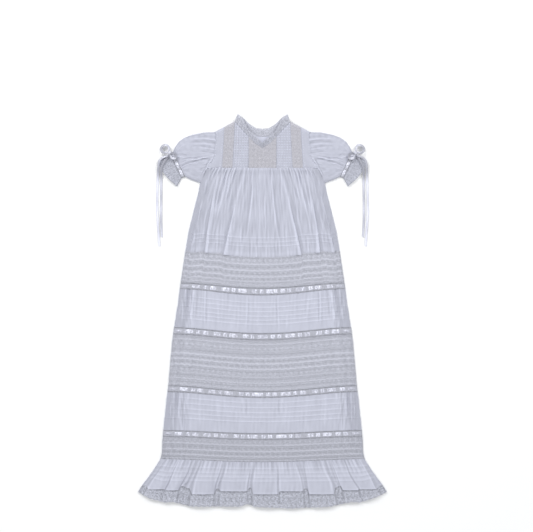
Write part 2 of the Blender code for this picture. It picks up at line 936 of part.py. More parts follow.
def ruffle_height(u, v):
    """Height of the ruffle's flutes, growing from its gathered top."""
    (_, _, _, rise), share = flute_at(u)
    form = flute_form(share)
    gather = 0.5 + 0.5 * math.cos(RUFFLE_GATHERS * math.pi * u)
    edge = min(1.0, (1.0 - abs(u)) / EDGE_FADE)
    lift = rise * form * smooth(0.0, 0.9, v)
    lift += RUFFLE_GATHER_HEIGHT * gather * (1.0 - v) ** 2
    return FLAT_HEIGHT + lift * edge


def ruffle():
    """The gathered ruffle with its rows of tucks."""
    place, half, _, _ = band("lace_3", "ruffle", front_foot=ruffle_foot)
    tube = FlatTube(place, half, ruffle_height)
    rows = edge_rows(RUFFLE_TUCKS, RUFFLE_LAST_ROWS, TUCK_HEIGHT, RUFFLE_TUCK_EDGE)
    columns = RUFFLE_COLUMNS
    tube.build("ruffle", "lawn", columns, rows, columns, [0.0, 0.5, 1.0])


def hem_lace():
    """The lace edging below the ruffle, with the same flutes."""

    def front_top(u):
        return ruffle_foot(u) + 4.0 * HALF_SEAM

    def front_foot(u):
        return read(HEM_EDGE, u)

    place, half, _, _ = band("ruffle", "hem", front_top=front_top, front_foot=front_foot)

    def height(u, v):
        (_, _, _, rise), share = flute_at(u)
        form = flute_form(share)
        edge = min(1.0, (1.0 - abs(u)) / EDGE_FADE)
        return FLAT_HEIGHT + rise * form * HEM_LACE_LIFT * edge

    tube = FlatTube(place, half, height)
    columns = RUFFLE_COLUMNS
    tube.build("hem_lace", "lace", columns, HEM_LACE_ROWS, columns, [0.0, 1.0])


# Yoke


def yoke_panel(name, finish, top, left, right, under, top_height, columns, rows,
               relief=None, mirror=1.0):
    """A panel of the yoke. top is (across, down); left and right are
    (share down the panel, across)."""

    def place(u, v):
        across = lerp(read(left, v), read(right, v), u)
        start = read(top, lerp(read(left, 0.0), read(right, 0.0), u))
        x, y = on_grid(across, lerp(start, YOKE_HEM - HALF_SEAM, v))
        return x * mirror, y

    def over(u, v):
        return top_height + (relief(u, v) if relief else 0.0)

    return plate(name, finish, place, lambda u, v: under, over, columns, rows)


def comb(count, crest):
    """Columns for upright tucks, each a swell and a drop."""
    places = [0.0]
    for k in range(count):
        start = (k + 0.15) / count
        places += [start, start + crest / count, start + (crest + PIN_TUCK_DROP) / count]
    return places + [1.0]


def yoke():
    """Front panels over the two halves of the back."""
    gap = HALF_SEAM

    def shift(edge, amount):
        return tuple((share, across + amount) for share, across in edge)

    def lace_relief(u, v):
        inside = abs(u - 0.5) < 0.38 and abs(v - 0.5) < 0.44
        return YOKE_LACE_RELIEF if inside else 0.0

    back_left, back_right = ARMHOLE_EDGE[0][1], -gap
    back_places = [0.0, 0.2]
    for across in (SHOULDER[1][0],) + tuple(row[0] for row in BACK_NECK[:-1]):
        back_places.append((across - back_left) / (back_right - back_left))
    back_places.append(1.0)
    tuck_places = comb(PIN_TUCKS, PIN_TUCK_CREST)

    def tuck_relief(u, v):
        crest = any(abs(u - place) < 1e-6 for place in tuck_places[2::3])
        return TUCK_HEIGHT if crest and 0.02 < v < 0.98 else 0.0

    for side, mirror in (("right", 1.0), ("left", -1.0)):
        yoke_panel(
            f"yoke_side_{side}", "lawn", SHOULDER, ARMHOLE_EDGE,
            shift(SIDE_SEAM, -gap), YOKE_FRONT_UNDER, YOKE_FRONT_TOP,
            (0.0, 0.5, 1.0), ARMHOLE_ROWS, None, mirror,
        )
        yoke_panel(
            f"yoke_lace_{side}", "cream_lace", SHOULDER,
            shift(SIDE_SEAM, gap), shift(LACE_SEAM, -gap),
            YOKE_FRONT_UNDER, YOKE_FRONT_TOP,
            (0.0, 0.11, 0.13, 0.5, 0.87, 0.89, 1.0),
            YOKE_LACE_ROWS, lace_relief, mirror,
        )
        yoke_panel(
            f"yoke_tucked_{side}", "lawn", FRONT_NECK,
            shift(LACE_SEAM, gap), shift(CENTRE_SEAM, -gap),
            YOKE_FRONT_UNDER, YOKE_FRONT_TOP,
            tuck_places, PIN_TUCK_ROWS, tuck_relief, mirror,
        )
        yoke_panel(
            f"yoke_back_{side}", "lawn", SHOULDER[:2] + BACK_NECK,
            ARMHOLE_EDGE, ((0.0, -gap), (1.0, -gap)),
            YOKE_BACK_UNDER, YOKE_BACK_TOP, back_places,
            ARMHOLE_ROWS, None, mirror,
        )
    yoke_panel(
        "yoke_lace_centre", "cream_lace",
        FRONT_NECK + tuple((-across, down) for across, down in FRONT_NECK[-2::-1]),
        shift(CENTRE_SEAM, gap),
        tuple((share, -across - gap) for share, across in CENTRE_SEAM),
        YOKE_FRONT_UNDER, YOKE_FRONT_TOP,
        (0.0, 0.11, 0.13, 0.25, 0.5, 0.75, 0.87, 0.89, 1.0),
        (0.0, 0.05, 0.07, 0.5, 0.93, 0.95, 1.0), lace_relief,
    )


def neck_point(table, share):
    """A point just above a neckline, a share of the way to the middle."""
    places = [k / (len(table) - 1) for k in range(len(table))]
    across = float(np.interp(share, places, [row[0] for row in table]))
    down = float(np.interp(share, places, [row[1] for row in table]))
    return np.array((across, down - NECK_GAP))


def collar():
    """The lace collar: a band round the front of the neck and two behind it."""

    def front_place(u, v):
        share = 1.0 - abs(u)
        side = 1.0 if u > 0 else -1.0
        free = [read(COLLAR_FRONT_FREE, share, k) for k in (1, 2)]
        across, down = lerp(neck_point(FRONT_NECK, share), np.array(free), v)
        return on_grid(-side * across, down)

    def front_under(u, v):
        return YOKE_FRONT_UNDER + COLLAR_RISE * smooth(0.0, 1.0, v)

    def front_over(u, v):
        wave = 0.5 + 0.5 * math.cos(COLLAR_WAVES * math.pi * u)
        return front_under(u, v) + WALL + COLLAR_WAVE_HEIGHT * wave * v

    half = [k / COLLAR_WAVES for k in range(COLLAR_WAVES + 1)]
    columns = [-share for share in reversed(half[1:])] + half
    plate(
        "collar_front", "lace", front_place, front_under, front_over,
        columns, (0.0, 0.35, 0.7, 1.0),
    )
    for side, mirror in (("right", 1.0), ("left", -1.0)):

        def back_place(u, v, mirror=mirror):
            foot = neck_point(BACK_NECK, u) - np.array((HALF_SEAM * u, 0.0))
            free = [read(COLLAR_BACK_FREE, u, k) for k in (1, 2)]
            x, y = on_grid(*lerp(foot, np.array(free), v))
            return x * mirror, y

        plate(
            f"collar_back_{side}", "lace", back_place,
            lambda u, v: YOKE_BACK_UNDER, lambda u, v: YOKE_BACK_TOP,
            [k / 8.0 for k in range(9)], (0.0, 0.5, 1.0),
        )


# Sleeves


def cuff_point(u, out):
    """A point on the cuff: u from -1 to 1 along it, out in squares past the
    line where the sleeve ends."""
    top, foot = np.array(CUFF_TOP), np.array(CUFF_FOOT)
    along = (foot - top) / np.linalg.norm(foot - top)
    outward = np.array((-along[1], along[0]))
    return lerp(top, foot, 0.5 * (u + 1.0)) + outward * out


def sleeve(side, mirror):
    """The puffed sleeve, its beading cuff with a ribbon, and the lace frill."""

    def sleeve_point(u, v):
        share = 0.5 * (u + 1.0)
        top = np.array([read(SLEEVE_STATIONS, v, k) for k in (1, 2)])
        foot = np.array([read(SLEEVE_STATIONS, v, k) for k in (3, 4)])
        straight = lerp(top, foot, share)
        chord = lerp(np.array(ARMHOLE[0][1:]), np.array(ARMHOLE[-1][1:]), share)
        seam = np.array([read(ARMHOLE, share, k) for k in (1, 2)])
        bow = (seam - chord) * (1.0 - v) ** 2
        return straight + bow - np.array((ARMHOLE_GAP * (1.0 - v), 0.0))

    def place(u, v, front):
        x, y = on_grid(*sleeve_point(u, v))
        return x * mirror, y

    def half(v):
        return 0.5 * GRID * float(
            np.linalg.norm(sleeve_point(1.0, v) - sleeve_point(-1.0, v))
        )

    def height(u, v):
        puff = SLEEVE_PUFF * (1.0 - u ** 4) * (0.35 + 0.65 * math.sin(math.pi * v))
        ends = (1.0 - smooth(0.0, 0.55, v)) + smooth(0.5, 1.0, v)
        wave = 0.5 + 0.5 * math.cos(SLEEVE_GATHERS * math.pi * u)
        return FLAT_HEIGHT + puff + SLEEVE_GATHER * wave * ends * (1.0 - u ** 6)

    tube = FlatTube(place, half, height)
    rows = [(v, 0.0) for v in SLEEVE_ROWS]
    rows[-1] = (1.0 - HALF_SEAM / SLEEVE_LENGTH, 0.0)
    inner_rows = [row[0] for row in rows[::2]]
    tube.build(
        f"sleeve_{side}", "lawn", spread(2 * SLEEVE_GATHERS + 1), rows,
        spread(13), inner_rows,
    )

    def beading_place(u, v, front):
        out = lerp(CUFF_START + HALF_SEAM, CUFF_DEPTH - HALF_SEAM, v)
        x, y = on_grid(*cuff_point(u, out))
        return x * mirror, y

    def cuff_half(v):
        return 0.5 * GRID * float(
            np.linalg.norm(np.array(CUFF_TOP) - np.array(CUFF_FOOT))
        )

    def beading_height(u, v):
        return FLAT_HEIGHT + CUFF_LIFT * (1.0 - u ** 4)

    beading_columns = spread(4 * CUFF_PATCHES + 1)
    beading = FlatTube(beading_place, cuff_half, beading_height, 2)
    beading.build(
        f"cuff_beading_{side}", "lace", beading_columns,
        BEADING_ROWS, spread(2 * CUFF_PATCHES + 1), [0.0, 1.0],
    )
    shoulder = 1.0 - EDGE / cuff_half(0.0)

    def ribbon_place(u, v):
        return beading_place(u * shoulder, lerp(RIBBON_TOP, RIBBON_FOOT, v), True)

    def ribbon_under(u, v):
        return beading_height(u, 0.0) + SEAM

    def ribbon_over(u, v):
        phase = (0.5 * (u + 1.0) * CUFF_PATCHES) % 1.0
        puff = 0.0 if min(phase, 1.0 - phase) < 0.1 else 1.0
        return ribbon_under(u, v) + RIBBON_THICKNESS + CUFF_RIBBON_PUFF * puff

    plate(
        f"cuff_ribbon_{side}", "satin", ribbon_place, ribbon_under, ribbon_over,
        beading_columns, (0.0, 1.0),
    )

    edge_shares = np.linspace(0.0, 1.0, len(FRILL_EDGE))

    def frill_place(u, v, front):
        share = 0.5 * (u + 1.0)
        foot = cuff_point(u, CUFF_DEPTH + HALF_SEAM)
        free = np.array(
            [
                np.interp(share, edge_shares, [row[k] for row in FRILL_EDGE])
                for k in (0, 1)
            ]
        )
        x, y = on_grid(*lerp(foot, free, v))
        return x * mirror, y

    def frill_half(v):
        ends = [np.array(frill_place(u, v, True)) for u in (-1.0, 1.0)]
        return 0.5 * float(np.linalg.norm(ends[1] - ends[0]))

    def frill_height(u, v):
        wave = 0.5 + 0.5 * math.cos(FRILL_WAVES * math.pi * (u + 1.0))
        return FLAT_HEIGHT + FRILL_WAVE_HEIGHT * wave * v * (1.0 - u ** 6)

    frill = FlatTube(frill_place, frill_half, frill_height, 13)
    frill.build(
        f"cuff_lace_{side}", "lace", spread(25), FRILL_ROWS, spread(13), [0.0, 1.0],
    )


def bow(side, mirror):
    """The ribbon bow at the cuff: loops, knot and two free ends."""
    x, y = on_grid(*KNOT_CENTRE)
    axis = np.array((math.cos(BOW_TURN), math.sin(BOW_TURN)))
    over = np.array((-axis[1], axis[0]))
    route = []
    for along, across, level in BOW_ROUTE:
        spot = np.array((x, y)) + 0.001 * (axis * along + over * across)
        route.append(np.array((*spot, 0.001 * level)))
    strip(
        f"bow_{side}", "satin", smooth_route(route, BOW_SPACING), BOW_WIDTH,
        BOW_THICKNESS, True, mirror,
    )
    profile = []
    for k in range(KNOT_SIDES + 1):
        angle = math.pi * k / KNOT_SIDES
        reach = math.copysign(abs(math.cos(angle)) ** 0.5, math.cos(angle))
        rise = KNOT_FOOT + (KNOT_TOP - KNOT_FOOT) * math.sin(angle) ** 0.5
        profile.append((0.5 * KNOT_SPAN * reach, rise))
    points, faces = [], []
    count = len(profile)
    for end in (-0.5, 0.5):
        for inset in (0.0, RIBBON_THICKNESS):
            for reach, rise in profile:
                scale = 1.0 - inset / (0.5 * KNOT_SPAN)
                spot = over * reach * scale + axis * end * KNOT_WIDTH
                level = rise - inset if rise > KNOT_FOOT else rise
                points.append(((x + spot[0]) * mirror, y + spot[1], level))
    for i in range(count - 1):
        a, b = i, i + 1
        faces.append((a, b, 2 * count + b, 2 * count + a))
        faces.append((count + a, count + b, 3 * count + b, 3 * count + a))
        faces.append((a, b, count + b, count + a))
        faces.append((2 * count + a, 2 * count + b, 3 * count + b, 3 * count + a))
    for a in (0, count - 1):
        faces.append((a, count + a, 3 * count + a, 2 * count + a))
    add_object(f"bow_knot_{side}", "satin", points, faces)
    for label, table in (("outer", OUTER_STREAMER), ("inner", INNER_STREAMER)):
        strip(
            f"streamer_{label}_{side}", "satin",
            smooth_route(laid_out(table), STREAMER_SPACING),
            STREAMER_WIDTH, STREAMER_THICKNESS, False, mirror,
        )


def buttons():
    """Three flat buttons down the back opening, under the yoke."""
    for number, down in enumerate(BUTTON_DOWNS, start=1):
        x, y = on_grid(0.0, down)
        points, faces = [], []
        for radius, level in (
            (BUTTON_RADIUS - BUTTON_RIM, 0.0),
            (BUTTON_RADIUS, BUTTON_RIM),
            (BUTTON_RADIUS, BUTTON_THICKNESS - BUTTON_RIM),
            (BUTTON_RADIUS - BUTTON_RIM, BUTTON_THICKNESS),
        ):
            for k in range(BUTTON_SIDES):
                turn = 2.0 * math.pi * k / BUTTON_SIDES
                points.append(
                    (x + radius * math.cos(turn), y + radius * math.sin(turn), level)
                )
        for ring in range(3):
            for k in range(BUTTON_SIDES):
                a = ring * BUTTON_SIDES + k
                b = ring * BUTTON_SIDES + (k + 1) % BUTTON_SIDES
                faces.append((a, b, b + BUTTON_SIDES, a + BUTTON_SIDES))
        faces.append(tuple(reversed(range(BUTTON_SIDES))))
        faces.append(tuple(range(3 * BUTTON_SIDES, 4 * BUTTON_SIDES)))
        add_object(f"button_{number}", "button", points, faces)


def lace_1_top(u):
    """The first lace band starts just under the first tier's stepped edge."""
    side, centre = SEAMS["tier_1"]
    return side + (centre - side) * seam_sag(u) + tier_1_steps(u) + HALF_SEAM


def main():
    """Model every piece of the gown."""
    for old in list(bpy.data.objects):
        bpy.data.objects.remove(old, do_unlink=True)
    flat_columns = spread(FLAT_COLUMNS)
    tier_1()
    lace_band(
        "lace_band_1", "tier_1", "lace_1", LACE_1_ROWS, pleat_columns(), lace_1_top
    )
    beading_with_ribbon(1, "lace_1", "beading_1")
    tucked_tier("tier_2", "beading_1", "tier_2", TIER_2_TUCKS)
    beading_with_ribbon(2, "tier_2", "beading_2")
    lace_band("lace_band_2", "beading_2", "lace_2", LACE_2_ROWS, flat_columns)
    beading_with_ribbon(3, "lace_2", "beading_3")
    tucked_tier("tier_3", "beading_3", "tier_3", TIER_3_TUCKS)
    beading_with_ribbon(4, "tier_3", "beading_4")
    lace_band("lace_band_3", "beading_4", "lace_3", LACE_3_ROWS, flat_columns)
    ruffle()
    hem_lace()
    yoke()
    collar()
    for side, mirror in (("right", 1.0), ("left", -1.0)):
        sleeve(side, mirror)
        bow(side, mirror)
    buttons()


if __name__ == "__main__":
    main()
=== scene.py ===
"""Christening gown laid out flat: its lawn, lace, beading and ribbon on the frame."""
import math

import bpy
import numpy as np
from bpy.props import FloatProperty, FloatVectorProperty, PointerProperty
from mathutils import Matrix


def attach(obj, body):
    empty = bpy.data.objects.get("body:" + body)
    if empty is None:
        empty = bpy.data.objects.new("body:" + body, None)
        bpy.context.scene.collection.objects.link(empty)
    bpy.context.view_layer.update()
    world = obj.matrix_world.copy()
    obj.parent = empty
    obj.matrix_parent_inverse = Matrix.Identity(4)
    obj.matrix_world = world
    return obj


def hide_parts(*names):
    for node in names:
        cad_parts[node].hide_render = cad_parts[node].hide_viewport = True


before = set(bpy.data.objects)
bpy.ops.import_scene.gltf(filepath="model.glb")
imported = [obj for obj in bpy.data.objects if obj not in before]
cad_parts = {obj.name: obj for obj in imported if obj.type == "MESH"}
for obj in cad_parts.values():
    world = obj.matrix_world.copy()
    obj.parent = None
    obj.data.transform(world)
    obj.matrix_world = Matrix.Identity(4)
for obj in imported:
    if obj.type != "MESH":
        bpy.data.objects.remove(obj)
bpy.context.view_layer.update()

bl_info = {
    "name": "Christening gown",
    "version": (1, 0, 0),
    "blender": (4, 5, 0),
    "location": "3D View > Sidebar > Gown",
    "description": "Lays lawn, lace, beading and ribbon on the gown's frame",
    "category": "Object",
}


# Layout squares, across from the centre line and down from the collar's top
GRID = 0.00225
LENGTH = 393.5
EDGE = 0.0012
FLAT_HEIGHT = 0.0029
TUCK_SHOWN = 0.0003
TUCK_HEIGHT = 0.0009
YOKE_STEP = 0.0010
LACE_ROW_HEIGHT = 0.0006
YOKE_BACK = 0.0019
YOKE_FRONT = 0.0040
YOKE_HEM = 53.5
COLLAR_RISE = 0.0030
COLLAR_WAVES = 12
COLLAR_WAVE_HEIGHT = 0.0012
NECK_GAP = 0.22
RIBBON_END = 0.985
RIBBON_PITCH = 9.5
STREAMER_WIDTH = 0.0050
STREAMER_THICKNESS = 0.0009
BOW_WIDTH = 0.0064
WEAVE_PITCH = 0.00036
STITCH_PITCH = 0.00585
BEADING_DEPTH = 0.015
FRILL_DEPTH = 0.024
SEAM_RADIUS = 0.0004
SEAM_HEIGHT = 0.0042
YOKE_TUCKS = 6
BACK_COLUMNS = 60
RUFFLE_COLUMNS = 560

SHOULDER = ((-47.5, 17.5), (-28.6, 7.4), (-27.4, 6.9))
FRONT_NECK = ((-27.6, 7.0), (-20.8, 14.6), (-14.0, 22.0), (-7.0, 29.2), (0.0, 33.6))
BACK_NECK = ((-26.4, 8.2), (-19.5, 13.4), (-13.5, 18.3), (-6.5, 21.6), (0.0, 22.3))
# Collar's free edge: (share of the way to the middle, across, down)
COLLAR_FRONT_FREE = (
    (0.00, -25.0, 0.3), (0.12, -19.8, 4.4), (0.30, -16.6, 10.4), (0.48, -13.6, 16.6),
    (0.62, -8.4, 20.6), (0.82, -3.4, 25.0), (1.00, 0.0, 28.8),
)
COLLAR_BACK_FREE = (
    (0.00, -25.0, 0.0), (0.25, -19.2, 3.6), (0.50, -13.7, 9.2), (0.75, -6.6, 13.8),
    (1.00, -0.07, 14.5),
)
# Edges of the yoke's panels: (share down the panel, across)
ARMHOLE_EDGE = ((0.00, -47.2), (0.11, -46.3), (0.72, -48.9), (0.92, -54.3), (1.00, -55.3))
SIDE_SEAM = ((0.0, -38.2), (1.0, -40.5))
LACE_SEAM = ((0.0, -27.6), (1.0, -30.0))
CENTRE_SEAM = ((0.0, -14.0), (1.0, -14.0))

# Skirt outline: (down, half width)
SKIRT_OUTLINE = (
    (53.5, 55.5), (57.5, 58.3), (62.0, 60.4), (68.5, 62.5), (75.5, 63.6), (87.5, 66.5),
    (99.5, 69.7), (117.5, 74.0), (135.5, 77.1), (153.5, 79.7), (171.5, 82.4),
    (189.5, 84.7), (207.5, 87.6), (225.5, 90.4), (249.5, 92.4), (273.5, 94.6),
    (297.5, 97.4), (321.5, 99.9), (339.5, 100.8), (345.5, 102.6), (351.5, 106.4),
    (357.5, 110.4), (363.5, 114.8), (369.5, 119.5), (377.5, 124.5),
)
# Seams round the skirt: (down at the sides, down at the centre)
SEAMS = {
    "yoke": (53.5, 53.5),
    "tier_1": (136.5, 142.0),
    "lace_1": (168.0, 173.0),
    "beading_1": (174.5, 181.0),
    "tier_2": (212.5, 218.5),
    "beading_2": (220.0, 226.0),
    "lace_2": (270.5, 276.5),
    "beading_3": (277.5, 283.5),
    "tier_3": (315.3, 318.6),
    "beading_4": (322.3, 325.6),
    "lace_3": (344.5, 347.5),
    "ruffle": (370.5, 370.5),
    "hem": (377.5, 377.5),
}
# Lowest edge of the first tier: (share of the half width, extra drop)
TIER_1_STEPS = (
    (0.000, 0.6), (0.490, 0.9), (0.520, -0.6), (0.735, 0.6), (0.755, -0.8),
    (0.925, 1.6), (0.945, -0.2), (1.000, 0.0),
)
# Pleats of the first tier: (place at its top, place at its foot, down where it
# starts, height, width of the roll, width of the drop)
PLEATS = (
    (0.40, 0.500, 84.0, 0.0036, 0.17, 0.014),
    (0.76, 0.742, 66.0, 0.0034, 0.14, 0.014),
    (0.90, 0.932, 74.0, 0.0026, 0.10, 0.014),
)
# Gathers under the yoke, alike on both sides: (share of the half width at the
# top, share at the foot, down at the foot, half width, height in mm)
GATHERS = (
    (0.030, 0.020, 82.0, 0.022, 1.3), (0.095, 0.085, 96.0, 0.020, 1.5),
    (0.165, 0.150, 118.0, 0.020, 1.7), (0.244, 0.225, 92.0, 0.018, 1.4),
    (0.307, 0.290, 124.0, 0.020, 1.8), (0.385, 0.400, 100.0, 0.018, 1.5),
    (0.440, 0.470, 90.0, 0.016, 1.3), (0.480, 0.520, 118.0, 0.016, 1.8),
    (0.527, 0.570, 104.0, 0.015, 1.6), (0.574, 0.620, 122.0, 0.016, 1.9),
    (0.637, 0.660, 98.0, 0.015, 1.6), (0.700, 0.715, 112.0, 0.018, 1.8),
    (0.763, 0.790, 96.0, 0.018, 1.5), (0.820, 0.850, 110.0, 0.018, 1.6),
    (0.880, 0.905, 92.0, 0.018, 1.3),
)
# Creases of the first tier, on the wearer's right and alike on the left:
# (across and down at its head, across and down at its foot, width on the outer
# side, width on the inner side, height in mm)
TIER_1_CREASES = (
    (-43.3, 50.0, -50.5, 108.0, 0.9, 1.1, 1.4), (-32.6, 50.0, -47.5, 112.0, 0.9, 1.4, 1.6),
    (-38.0, 50.0, -48.5, 102.0, 0.7, 0.9, 1.2), (-35.2, 52.0, -46.0, 98.0, 0.8, 0.8, -1.3),
    (-40.8, 52.0, -49.5, 104.0, 0.8, 0.8, -1.3), (-16.5, 50.0, -32.0, 112.0, 1.0, 2.4, 1.0),
    (-19.0, 52.0, -34.5, 104.0, 1.6, 1.0, -0.9), (-8.0, 62.0, -16.0, 126.0, 0.8, 1.6, 1.2),
    (-10.2, 66.0, -18.4, 130.0, 1.4, 0.8, -0.8), (-2.6, 54.0, -3.2, 128.0, 0.7, 0.9, 0.8),
    (-54.5, 58.0, -65.5, 112.0, 1.0, 1.4, 1.1), (-50.0, 58.0, -61.0, 112.0, 1.8, 1.4, -1.2),
    (-27.0, 50.0, -40.0, 96.0, 0.8, 1.2, 0.9), (-24.6, 52.0, -36.5, 88.0, 1.0, 1.0, -0.9),
    (-31.5, 106.0, -39.5, 143.0, 0.9, 3.0, 1.1), (-60.5, 96.0, -73.0, 139.0, 1.8, 1.6, -1.5),
    (-23.0, 112.0, -26.0, 143.0, 0.8, 1.4, 0.7), (-64.5, 96.0, -73.5, 139.0, 0.9, 1.2, 1.0),
    (-12.0, 128.0, -12.6, 146.0, 0.8, 0.8, -0.8), (-6.0, 130.0, -6.2, 146.0, 0.7, 0.7, 0.7),
    (-45.0, 124.0, -46.5, 143.0, 0.7, 0.9, 0.8), (-53.5, 118.0, -55.5, 143.0, 0.9, 0.9, 0.9),
)
# Soft lengthwise folds: (place at its top, place at its foot, down at its top,
# down at its foot, half width, height)
SOFT_FOLDS = (
    (-0.93, -0.94, 168.0, 352.0, 0.055, 0.0018), (-0.80, -0.85, 150.0, 352.0, 0.085, 0.0024),
    (-0.60, -0.62, 168.0, 300.0, 0.080, 0.0015), (-0.34, -0.38, 196.0, 352.0, 0.090, 0.0010),
    (-0.07, -0.03, 160.0, 300.0, 0.070, 0.0014), (0.24, 0.28, 226.0, 352.0, 0.090, 0.0009),
    (0.59, 0.66, 160.0, 330.0, 0.080, 0.0017), (0.80, 0.84, 150.0, 352.0, 0.085, 0.0023),
    (0.93, 0.95, 168.0, 352.0, 0.055, 0.0016),
)
# Creases of the second and third tiers, in the same columns as the first's
TIER_2_CREASES = (
    (-76.0, 176.0, -81.0, 213.0, 0.8, 1.0, 1.3), (-79.5, 184.0, -84.5, 211.0, 0.8, 1.0, 1.0),
    (-72.0, 175.0, -76.5, 206.0, 1.2, 1.0, -1.5), (-69.0, 181.0, -72.5, 214.0, 0.7, 1.6, 1.4),
    (-64.5, 175.0, -66.5, 212.0, 1.0, 1.4, -0.9), (-57.5, 176.0, -58.5, 215.0, 0.5, 2.0, 1.1),
    (-55.6, 178.0, -56.6, 215.0, 0.7, 0.7, -1.3), (-45.0, 182.0, -44.5, 214.0, 1.4, 1.4, 0.7),
    (-34.5, 178.0, -35.0, 200.0, 1.6, 1.2, -0.6), (-15.5, 180.0, -16.5, 217.0, 0.6, 1.6, 0.9),
    (-14.0, 180.0, -14.6, 217.0, 0.8, 0.8, -0.9), (-24.0, 192.0, -24.0, 217.0, 1.6, 1.6, 0.5),
    (-83.0, 188.0, -87.0, 213.0, 0.8, 0.8, 1.0), (-81.5, 186.0, -85.7, 212.0, 0.7, 0.7, -1.2),
)
TIER_3_CREASES = (
    (-88.0, 279.0, -90.0, 316.0, 0.8, 1.0, 1.2), (-90.5, 281.0, -93.5, 315.0, 0.7, 0.9, 1.0),
    (-85.5, 279.0, -87.0, 312.0, 1.0, 0.8, -1.4), (-83.0, 279.0, -84.0, 310.0, 0.6, 1.2, 1.1),
    (-79.0, 280.0, -80.0, 317.0, 0.9, 0.9, -0.9), (-74.0, 281.0, -74.5, 300.0, 1.0, 1.6, 0.8),
    (-62.0, 282.0, -62.5, 317.0, 1.6, 1.6, 0.6), (-45.0, 281.0, -44.0, 317.0, 1.2, 1.8, 0.6),
    (-20.0, 283.0, -19.5, 300.0, 1.0, 1.4, 0.7), (-16.5, 284.0, -16.0, 302.0, 0.8, 0.8, -0.8),
    (-92.8, 284.0, -95.0, 314.0, 0.7, 0.7, -1.2),
)
TIER_1_TUCKS = (123.8, 128.0, 132.0)
TIER_2_TUCKS = (189.0, 193.5, 198.0, 202.5, 206.5, 210.5)
TIER_3_TUCKS = (289.0, 294.0, 299.0, 303.5, 308.0)
RUFFLE_TUCKS = (0.26, 0.42, 0.56, 0.70)

# Thick rows of each lace: (down at the centre, wave's height and length,
# thickness), in squares
LACE_ROWS = {
    "lace_band_1": (
        (149.6, 0.25, 4.7, 1.7), (156.0, 0.25, 5.9, 1.9), (162.3, 0.25, 4.7, 1.6),
        (167.0, 0.20, 3.9, 1.0), (170.8, 0.0, 2.0, 0.6),
    ),
    "lace_band_2": (
        (230.2, 0.25, 3.1, 0.9), (234.4, 0.0, 2.0, 0.4), (237.4, 0.0, 2.0, 0.4),
        (244.2, 0.25, 6.1, 1.8), (249.7, 0.25, 4.9, 1.6), (255.3, 0.30, 6.1, 1.6),
        (263.2, 0.0, 2.0, 0.6), (269.0, 0.40, 4.1, 0.9), (274.9, 0.0, 2.0, 0.6),
    ),
    "lace_band_3": (
        (331.2, 0.25, 4.9, 1.4), (337.4, 0.25, 5.7, 1.5), (342.6, 0.25, 4.9, 1.2),
        (346.4, 0.0, 2.0, 0.6),
    ),
}
# Downs at the centre of the thin painted shadow lines between those rows
LACE_PAINTED_SHADOW_LINES = {
    "lace_band_1": (143.6, 152.7, 159.2, 164.9, 172.4),
    "lace_band_2": (227.4, 240.2, 247.0, 252.5, 258.2, 265.3, 272.2),
    "lace_band_3": (334.4, 340.1, 345.0),
}
# Sprigs of each lace: (down at the centre, distance apart, radius, petals)
LACE_SPRIGS = {
    "lace_band_1": ((145.7, 5.4, 1.9, 4), (152.8, 6.1, 1.5, 5), (158.5, 5.2, 1.5, 5),
                    (164.6, 5.8, 1.5, 4)),
    "lace_band_2": ((234.6, 5.6, 1.7, 4), (246.3, 5.4, 1.6, 5), (252.5, 6.2, 1.5, 4),
                    (259.4, 5.2, 1.7, 5), (271.2, 4.6, 1.2, 4)),
    "lace_band_3": ((328.2, 5.0, 1.3, 4), (334.6, 5.6, 1.5, 5), (340.1, 5.2, 1.3, 4)),
}

# Flutes of the ruffle: (left edge, right edge, down at the foot, height)
FLUTES = (
    (-119.5, -114.5, 371.0, 0.0006), (-114.5, -97.5, 374.5, 0.0040),
    (-97.5, -82.5, 375.5, 0.0044), (-82.5, -76.5, 371.5, 0.0016),
    (-76.5, -71.5, 373.5, 0.0010), (-71.5, -47.0, 379.5, 0.0050),
    (-47.0, -43.0, 374.0, 0.0016), (-43.0, -14.0, 376.5, 0.0044),
    (-14.0, -10.5, 373.0, 0.0008), (-10.5, 16.5, 379.5, 0.0050),
    (16.5, 41.0, 376.5, 0.0038), (41.0, 45.5, 373.8, 0.0014),
    (45.5, 72.0, 379.5, 0.0050), (72.0, 74.5, 373.0, 0.0008),
    (74.5, 79.0, 371.5, 0.0016), (79.0, 95.5, 375.5, 0.0044),
    (95.5, 114.5, 374.5, 0.0040), (114.5, 119.5, 371.0, 0.0006),
)
FLUTE_FOOT_HALF = 119.5
WIDE_FLUTE = 10.0
HEM_EDGE = (
    (-1.000, 377.5), (-0.905, 383.5), (-0.785, 387.5), (-0.725, 386.8), (-0.580, 391.5),
    (-0.180, 391.6), (-0.120, 389.2), (-0.060, 391.8), (0.220, 393.5), (0.545, 391.6),
    (0.720, 386.8), (0.785, 387.5), (0.905, 382.6), (1.000, 377.5),
)

# Sleeve: (share of the way, top edge across and down, under edge across and down)
SLEEVE_STATIONS = (
    (0.00, -47.5, 17.5, -62.8, 68.3), (0.20, -58.9, 17.9, -65.6, 67.3),
    (0.40, -70.1, 20.2, -68.8, 66.1), (0.60, -78.1, 23.1, -71.8, 65.0),
    (0.76, -83.6, 27.1, -74.0, 64.0), (0.90, -87.2, 32.2, -76.0, 62.9),
    (1.00, -89.4, 37.0, -77.4, 62.0),
)
ARMHOLE = (
    (0.00, -47.5, 17.5), (0.08, -46.6, 21.5), (0.50, -49.2, 43.2), (0.67, -54.6, 50.6),
    (0.72, -55.6, 53.5), (0.80, -58.5, 57.5), (0.88, -60.7, 62.0), (1.00, -62.8, 68.3),
)
SLEEVE_PUFF = 0.0030
SLEEVE_LENGTH = 0.092
ARMHOLE_GAP = -0.10
